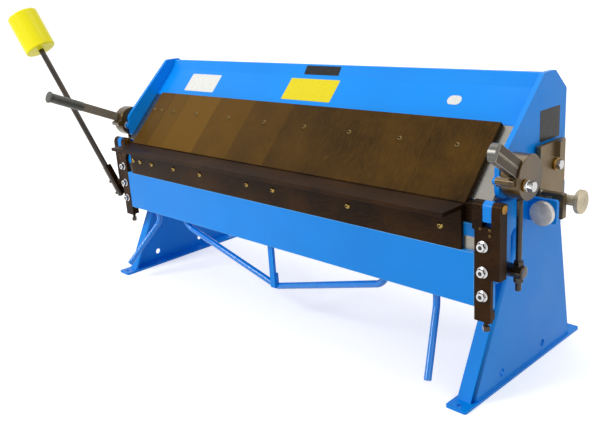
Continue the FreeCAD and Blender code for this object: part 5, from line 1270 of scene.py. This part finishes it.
@dataclass
class Beam:
    """Clamping leaf: fingers, seat, bent sheet, end plates and blank labels."""

    widths: tuple[int, ...] = (1, 2, 3, 6, 6, 6, 6, 6, 6, 6)
    tones: tuple[float, ...] = (0.38, 0.42, 0.64, 0.78, 0.44, 0.26, 0.10, 0.12, 0.12, 0.04)
    finger_thickness: float = 12.7
    seat_thickness: float = 19.0
    screw_up: float = 127.0
    cam_y: float = 27.6
    cam_z: float = 468.4
    label_up: float = 246.0
    crease_up: float = 291.0
    weld_zs: tuple[float, float] = (450.0, 606.0)

    def build(self) -> None:
        """Dress the leaf and everything fixed to it."""
        for node in ("finger_1in", "finger_2in", "finger_3in", "wide_fingers"):
            self._tone(dressed(node, 1.1, FINGER_OXIDE, WORN_OXIDE))
        self._screws()
        dressed("finger_seat", 0.5, GROUND)
        shell = Piece("bent_sheet", "beam")
        shell.add(softened(cad_shape("beam_shell"), 3.0, angle=8.0, segments=5, along=X_AXIS), BLUE)
        shell.done("beam_shell")
        for name in LEFT_TO_RIGHT.values():
            dressed(name + "_end_plate", 1.2, BLUE, BLUE_EDGE_HIGHLIGHT, segments=3)
        self._cam_bolts()
        self._labels()
        self._welds()

    def _lefts(self) -> list[float]:
        """Return the X of every finger's left edge and of the last one's right edge."""
        edges = [-BEND_LENGTH / 2]
        for width in self.widths:
            edges.append(edges[-1] + width * INCH)
        return edges

    def _tone(self, thing: bpy.types.Object) -> None:
        """Give each finger its own listed mix towards the warm brown, highest on the third and fourth
        fingers and least at the right end.

        Args:
            thing: An object that holds one finger or several.
        """
        edges = self._lefts()
        attribute = thing.data.attributes.new(TONE, "FLOAT", "POINT")
        for vert in thing.data.vertices:
            x = vert.co.x / MM
            index = min(max(sum(x > edge for edge in edges) - 1, 0), len(self.tones) - 1)
            attribute.data[vert.index].value = self.tones[index]

    def _screws(self) -> None:
        """Make the button head screws of the fingers."""
        piece = Piece("finger_heads", "beam")
        edges = self._lefts()
        length = self.finger_thickness + self.seat_thickness
        for left, right in zip(edges, edges[1:]):
            seat = on_slope((left + right) / 2, self.screw_up)
            add_button_screw(piece, seat, OUT_OF_SLOPE, length, OILED_ZINC)
        piece.done("finger_screws")

    def _cam_bolts(self) -> None:
        """Make the bolts that the cams turn on, with their washers."""
        bolts = Piece("cam_bolt_heads", "beam")
        washers = Piece("cam_washers", "beam")
        for side, inset in ((1, 0.0), (-1, LEFT_CLAMP_INSET)):
            outward = X_AXIS * side

            def place(x: float) -> Vector:
                """Return a place on the bolt's axis."""
                return at(side * (x - inset), self.cam_y, self.cam_z)

            bolts.add(rod(at(side * 669.0, self.cam_y, self.cam_z), place(683.7), 12.0), PLATED)
            bolts.add(rod(place(680.0), place(729.0), 5.4, 0.3, 24), PLATED)
            washers.add(rod(place(724.3), place(727.5), 12.0, 0.4), BRASS)
            bolts.add(turned(place(727.5), outward, [
                (0.0, 0.0), (10.6, 0.0), (11.0, 0.5), (11.0, 4.2), (10.2, 5.0), (0.0, 5.0)]), PLATED)
            bolts.add(hex_head(place(732.5), outward, BIG_HEX_FLATS, 12.0), PLATED)
        bolts.done("cam_bolts")
        washers.done("cam_brass_washers")

    def _labels(self) -> None:
        """Lay blank labels where the leaf carries its labels."""
        piece = Piece("blank_labels", "beam")
        sheet = -self.finger_thickness
        lift = 0.1
        for x, up, width, height, corner, finish in (
            (-453.0, self.label_up, 143.0, 63.0, LABEL_CORNER, PLAIN_WHITE),
            (12.0, self.label_up + 1.0, 180.0, 69.0, LABEL_CORNER, PLAIN_YELLOW),
            (465.0, self.label_up, 36.0, 24.0, 11.5, PLAIN_WHITE),
        ):
            size = (width, height, LABEL_THICKNESS)
            piece.add(plate(on_slope(x, up, sheet + lift), X_AXIS, UP_SLOPE, size, corner), finish)
        low, high = on_slope(0.0, self.crease_up, sheet), at(0.0, 229.0, 653.0)
        upper = (high - low).normalized()
        lifted = (low + high) / 2 + X_AXIS.cross(upper) * lift * MM
        size = (126.0, 26.0, LABEL_THICKNESS)
        piece.add(plate(lifted + X_AXIS * 24.0 * MM, X_AXIS, upper, size, LABEL_CORNER), PLAIN_BLACK)
        place = at(669.1, 225.0, 548.0)
        piece.add(plate(place, Y_AXIS, Z_AXIS, (84.0, 66.0, 0.6), LABEL_CORNER, edge=0.2), PLAIN_BLACK)
        piece.done()

    def _welds(self) -> None:
        """Weld the sheet to the end plates from inside."""
        piece = Piece("beam_welds", "beam")
        for side in SIDES:
            piece.add(weld_bead(*(at(side * 656.6, 283.0, z) for z in self.weld_zs), 2.6), BLUE)
        piece.done()


@dataclass
class Carriage:
    """Black setback plates with their pivots, knobs and screws."""

    screw_x: float = 719.8
    screw_y: float = 100.0
    screw_z: float = 391.7
    lock_x: float = 684.3
    lock_y: float = 197.3
    lock_z: float = 398.6
    pivot_y: float = 224.0
    pivot_z: float = 464.0
    small_screw: tuple[float, float, float] = (684.0, 168.8, 415.5)

    def build(self) -> None:
        """Dress both ends of the carriage."""
        for side, name in LEFT_TO_RIGHT.items():
            dressed(name + "_setback_plate", 0.7, GOLDEN_OXIDE, WORN_OXIDE)
            self._setback_knob(side, name)
            self._lock_knob(side, name)
        self._pivots()

    def _setback_knob(self, side: int, name: str) -> None:
        """Turn one setback knob with its captive screw.

        Args:
            side: Plus one for the right end, minus one for the left.
            name: The end's name.
        """
        face = at(side * self.screw_x, self.screw_y, self.screw_z)
        finish = TurnedMetal(name + "_setback_face", Slot.BRIGHT, (226, 220, 214), centre=tuple(face))
        piece = Piece(name + "_setback_dial", name + "_setback_knob")
        piece.add(turned(face, Y_AXIS, [
            (0.0, 0.9), (3.4, 0.9), (3.8, 0.3), (8.6, 0.3), (9.0, 0.0), (23.2, 0.0), (24.4, 0.4),
            (25.2, 1.5), (25.2, 9.2), (24.0, 10.5), (9.5, 10.5), (9.5, 25.6), (5.0, 25.7), (5.0, 36.3),
            (9.1, 36.3), (9.5, 36.8), (9.5, 41.8), (9.1, 42.3), (0.0, 42.3)], 72), finish)
        piece.add(threaded(face + Y_AXIS * 42.0 * MM, face + Y_AXIS * 84.0 * MM, 4.95, 1.5), PLATED)
        piece.done(name + "_setback_knob")

    def _lock_knob(self, side: int, name: str) -> None:
        """Turn one lock knob with its hub.

        Args:
            side: Plus one for the right end, minus one for the left.
            name: The end's name.
        """
        root = at(side * self.lock_x, self.lock_y, self.lock_z)
        finish = TurnedMetal(name + "_lock_face", Slot.BRIGHT, (212, 196, 162), centre=tuple(root),
                             direction="X")
        piece = Piece(name + "_lock_dial", name + "_lock_knob")
        piece.add(turned(root, X_AXIS * side, [
            (0.0, 0.0), (10.5, 0.0), (11.0, 0.5), (11.0, 64.7), (10.4, 65.7), (24.2, 65.7), (25.2, 66.9),
            (25.2, 75.2), (23.8, 76.7), (7.0, 76.7), (6.4, 75.9), (0.0, 75.9)], 72), finish)
        piece.add(rod(root - X_AXIS * side * 25.0 * MM, root, 5.9, 0.4, 24), PLATED)
        piece.done(name + "_lock_knob")

    def _pivots(self) -> None:
        """Make the beam's pivot bolts, nuts, spacers and brass washers."""
        bolts = Piece("pivot_bolt_heads", "carriage")
        washers = Piece("pivot_washers", "carriage")
        for side in SIDES:
            outward = X_AXIS * side

            def place(x: float) -> Vector:
                """Return a place on the pivot's axis."""
                return at(side * x, self.pivot_y, self.pivot_z)

            for x, way in ((689.5, outward), (657.5, -outward)):
                bolts.add(hex_head(place(x), way, BIG_HEX_FLATS, 10.0), PLATED)
            bolts.add(rod(place(656.0), place(690.0), 7.9, 0.3, 24), PLATED)
            bolts.add(rod(place(669.3), place(675.0), 13.0), PLATED)
            washers.add(rod(place(684.0), place(689.5), 13.0, 0.6), BRASS)
            x, y, z = self.small_screw
            bolts.add(button_head(at(side * x, y, z), outward, 4.2, 2.4, 3.0), PLATED, SOCKET_DARK)
        bolts.done("beam_pivot_bolts")
        washers.done("pivot_brass_washers")


@dataclass
class Clamps:
    """Cams with their handles, and the threaded link rods down to the trunnions."""

    crank_y: float = 43.35
    rod_x: float = 705.5
    rod_low: float = 244.0
    rod_high: float = 435.9
    rod_radius: float = 6.5
    root_share: float = 0.84
    trunnion_x: float = 677.8
    trunnion_z: float = 285.0
    trunnion_length: float = 42.0
    trunnion_radius: float = 14.0
    nut_reach: float = 11.5
    nut_seat: float = 12.0
    handle_root: tuple[float, float, float] = (-699.0, 50.0, 479.0)
    handle_slope: float = 156.3
    grip_from: float = 168.8
    grip_radius: float = 14.5

    def build(self) -> None:
        """Dress both clamps."""
        for side, name in LEFT_TO_RIGHT.items():
            x = self.rod_x - (LEFT_CLAMP_INSET if side < 0 else 0.0)
            dressed(name + "_cam", 0.8, CAM_OXIDE, WORN_OXIDE)
            self._link_rod(side * x, name)
            self._trunnion(side, x, name)
        dressed("right_handle", 0.9, CAST_DARK, WORN_GREY)
        dressed("right_handle_tip", 0.9, TIP_GREY)
        dressed("left_handle", 0.9, HANDLE_GREY, WORN_GREY)
        self._grip()

    def _link_rod(self, x: float, name: str) -> None:
        """Cut threads on one link rod and keep its flattened eye.

        Args:
            x: Where the rod stands.
            name: The end's name.
        """
        shape = cad_shape(name + "_link_rod")
        centre = at(x, self.crank_y, 0.0)
        for vert in shape.verts:
            across = Vector((vert.co.x - centre.x, vert.co.y - centre.y, 0.0))
            on_rod = abs(across.length / MM - self.rod_radius) < 0.2
            if on_rod and vert.co.z < (self.rod_high + 0.3) * MM:
                vert.co.xy = centre.xy + across.xy * self.root_share
        piece = Piece(name + "_rod_and_eye", name + "_link")
        piece.add(softened(shape, 0.6), LINK_OXIDE)
        ends = [at(x, self.crank_y, z) for z in (self.rod_low + 0.2, self.rod_high)]
        piece.add(threaded(*ends, self.rod_radius - 0.05, 1.75), LINK_OXIDE)
        piece.done(name + "_link_rod")

    def _trunnion(self, side: int, x: float, name: str) -> None:
        """Turn one trunnion, press its nut seats flat and add the nuts.

        Args:
            side: Plus one for the right end, minus one for the left.
            x: Distance of the rod from the middle.
            name: The end's name.
        """
        root = at(side * self.trunnion_x, self.crank_y, self.trunnion_z)
        radius, length, seat = self.trunnion_radius, self.trunnion_length, self.nut_seat * MM
        near, far = (x - self.trunnion_x + way * self.nut_reach for way in SIDES)
        flat = [(radius, along) for end in (near, far) for along in (end, end + 0.05)]
        ball = [(reach, length - rise) for reach, rise in reversed(rounded_rim(radius, 4.9))]
        profile = [(0.0, 0.0), (radius - 0.5, 0.0), (radius, 0.5)] + flat + ball + [(0.0, length)]
        shape = turned(root, X_AXIS * side, profile, 60)
        for vert in shape.verts:
            along = abs(vert.co.x) / MM - self.trunnion_x
            if near + 0.02 < along < far + 0.02:
                middle = self.trunnion_z * MM
                vert.co.z = middle + max(-seat, min(seat, vert.co.z - middle))
        piece = Piece(name + "_trunnion_and_nuts", name + "_link")
        piece.add(shape, LINK_OXIDE)
        piece.add(rod(root - X_AXIS * side * 19.0 * MM, root, 8.95, 0.4), LINK_OXIDE)
        for way in (Z_AXIS, -Z_AXIS):
            place = at(side * x, self.crank_y, self.trunnion_z) + way * seat
            piece.add(hex_head(place, way, BIG_HEX_FLATS, 10.5), LINK_OXIDE)
        piece.done(name + "_trunnion", sharp=30.0)

    def _grip(self) -> None:
        """Mould the grip of the long handle, with a rounded flange at its end."""
        slope = math.radians(self.handle_slope)
        along = Vector((0.0, math.cos(slope), math.sin(slope)))
        start = at(*self.handle_root) + along * self.grip_from * MM
        radius = self.grip_radius
        profile = [(0.0, 0.0), (12.8, 0.0), (radius, 1.6)]
        for index in range(9):
            ridge = 8.0 + index * 11.0
            groove = [(radius - 0.4, ridge + rise) for rise in (0.8, 2.2)]
            profile += [(radius, ridge), *groove, (radius, ridge + 3.0)]
        profile += [(radius, 106.0), (14.9, 107.8), (16.6, 108.8), (17.5, 110.4), (17.5, 112.2),
                    (16.2, 114.2), (13.4, 114.7), (0.0, 114.7)]
        lone("moulded_grip", "left_cam", turned(start, along, profile), GRIP_GREY, "left_handle_grip")


@dataclass
class Studio:
    """Pale floor, backdrop, soft lamps and the photograph's camera."""

    azimuth: float = 46.575
    elevation: float = 16.741
    roll: float = -3.987
    camera_at: tuple[float, float, float] = (1.4002, -1.3679, 0.8534)
    lens: float = 44.15
    shift: tuple[float, float] = (-0.0007, -0.0027)
    floor_size: float = 12.0
    soft_light: float = 0.42

    def build(self) -> None:
        """Make the floor, the world, the lamps and the camera."""
        bpy.context.scene.view_settings.view_transform = "Standard"
        self._camera()
        self._floor()
        self._world()
        for name, place, size, power in (
            ("key_lamp", (-1.6, -3.0, 2.6), 1.4, 80.0),
            ("fill_lamp", (3.6, -0.6, 2.0), 2.2, 20.0),
            ("top_lamp", (0.0, 0.6, 3.4), 2.6, 42.0),
        ):
            self._lamp(name, Vector(place), size, power)

    def _camera(self) -> None:
        """Put the camera where the photograph was taken from."""
        angles = (self.azimuth, self.elevation, self.roll)
        azimuth, elevation, roll = (math.radians(angle) for angle in angles)
        level_share = math.cos(elevation)
        back = Vector((math.sin(azimuth) * level_share, -math.cos(azimuth) * level_share,
                       math.sin(elevation)))
        level = Vector((math.cos(azimuth), math.sin(azimuth), 0.0))
        upright = back.cross(level)
        right = level * math.cos(roll) + upright * math.sin(roll)
        up = upright * math.cos(roll) - level * math.sin(roll)
        data = bpy.data.cameras.new("camera")
        data.lens = self.lens
        data.shift_x, data.shift_y = self.shift
        data.clip_start, data.clip_end = 0.05, 60.0
        data.dof.use_dof = False
        camera = bpy.data.objects.new("camera", data)
        turn = Matrix((right, up, back)).transposed().to_4x4()
        camera.matrix_world = Matrix.Translation(self.camera_at) @ turn
        bpy.context.scene.collection.objects.link(camera)
        bpy.context.scene.camera = camera

    def _floor(self) -> None:
        """Lay a pale floor that turns white to the camera but keeps the shadow."""
        shape = bmesh.new()
        bmesh.ops.create_grid(shape, x_segments=1, y_segments=1, size=self.floor_size)
        mesh = bpy.data.meshes.new("floor")
        shape.to_mesh(mesh)
        shape.free()
        floor = bpy.data.objects.new("floor", mesh)
        bpy.context.scene.collection.objects.link(floor)
        graph = Graph("pale_floor")
        graph.shader.inputs["Base Color"].default_value = (0.8, 0.79, 0.78, 1.0)
        graph.fixed(roughness=0.9)
        glow = graph.add("ShaderNodeEmission")
        reach = graph.add("ShaderNodeVectorMath", operation="LENGTH")
        graph.link(graph.place, reach.inputs[0])
        graph.link(graph.between(reach.outputs["Value"], 1.4, 5.0, 0.52, 0.76), glow.inputs["Strength"])
        total = graph.add("ShaderNodeAddShader")
        graph.link(graph.shader.outputs[0], total.inputs[0])
        graph.link(glow.outputs[0], total.inputs[1])
        seen = graph.add("ShaderNodeMixShader")
        graph.link(graph.seen(), seen.inputs[0])
        graph.link(graph.shader.outputs[0], seen.inputs[1])
        graph.link(total.outputs[0], seen.inputs[2])
        graph.link(seen.outputs[0], graph.tree.nodes["Material Output"].inputs["Surface"])
        mesh.materials.append(graph.material)

    def _world(self) -> None:
        """Surround the part with soft light, white where it is looked at."""
        world = bpy.data.worlds.new("studio")
        bpy.context.scene.world = world
        world.use_nodes = True
        nodes = Nodes(world.node_tree)
        back = nodes.tree.nodes["Background"]
        back.inputs["Color"].default_value = (1.0, 1.0, 1.0, 1.0)
        strength = nodes.between(nodes.seen(), 0.0, 1.0, self.soft_light, 1.0)
        nodes.link(strength, back.inputs["Strength"])

    @staticmethod
    def _lamp(name: str, place: Vector, size: float, power: float) -> None:
        """Hang one soft lamp aimed at the part.

        Args:
            name: The lamp's name.
            place: Where it hangs.
            size: Its width in metres.
            power: Its power in watts.
        """
        data = bpy.data.lights.new(name, "AREA")
        data.shape = "SQUARE"
        data.size = size
        data.energy = power
        lamp = bpy.data.objects.new(name, data)
        lamp.location = place
        lamp.rotation_euler = (Vector((0.0, 0.0, 0.35)) - place).to_track_quat("-Z", "Y").to_euler()
        bpy.context.scene.collection.objects.link(lamp)


def main() -> None:
    """Build every sub-assembly in order."""
    logging.basicConfig(level=logging.INFO, format="%(name)s: %(message)s")
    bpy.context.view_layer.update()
    Studio().build()
    for assembly in (Base(), Apron(), Counterweight(), Beam(), Carriage(), Clamps()):
        assembly.build()
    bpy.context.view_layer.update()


if __name__ == "__main__":
    main()
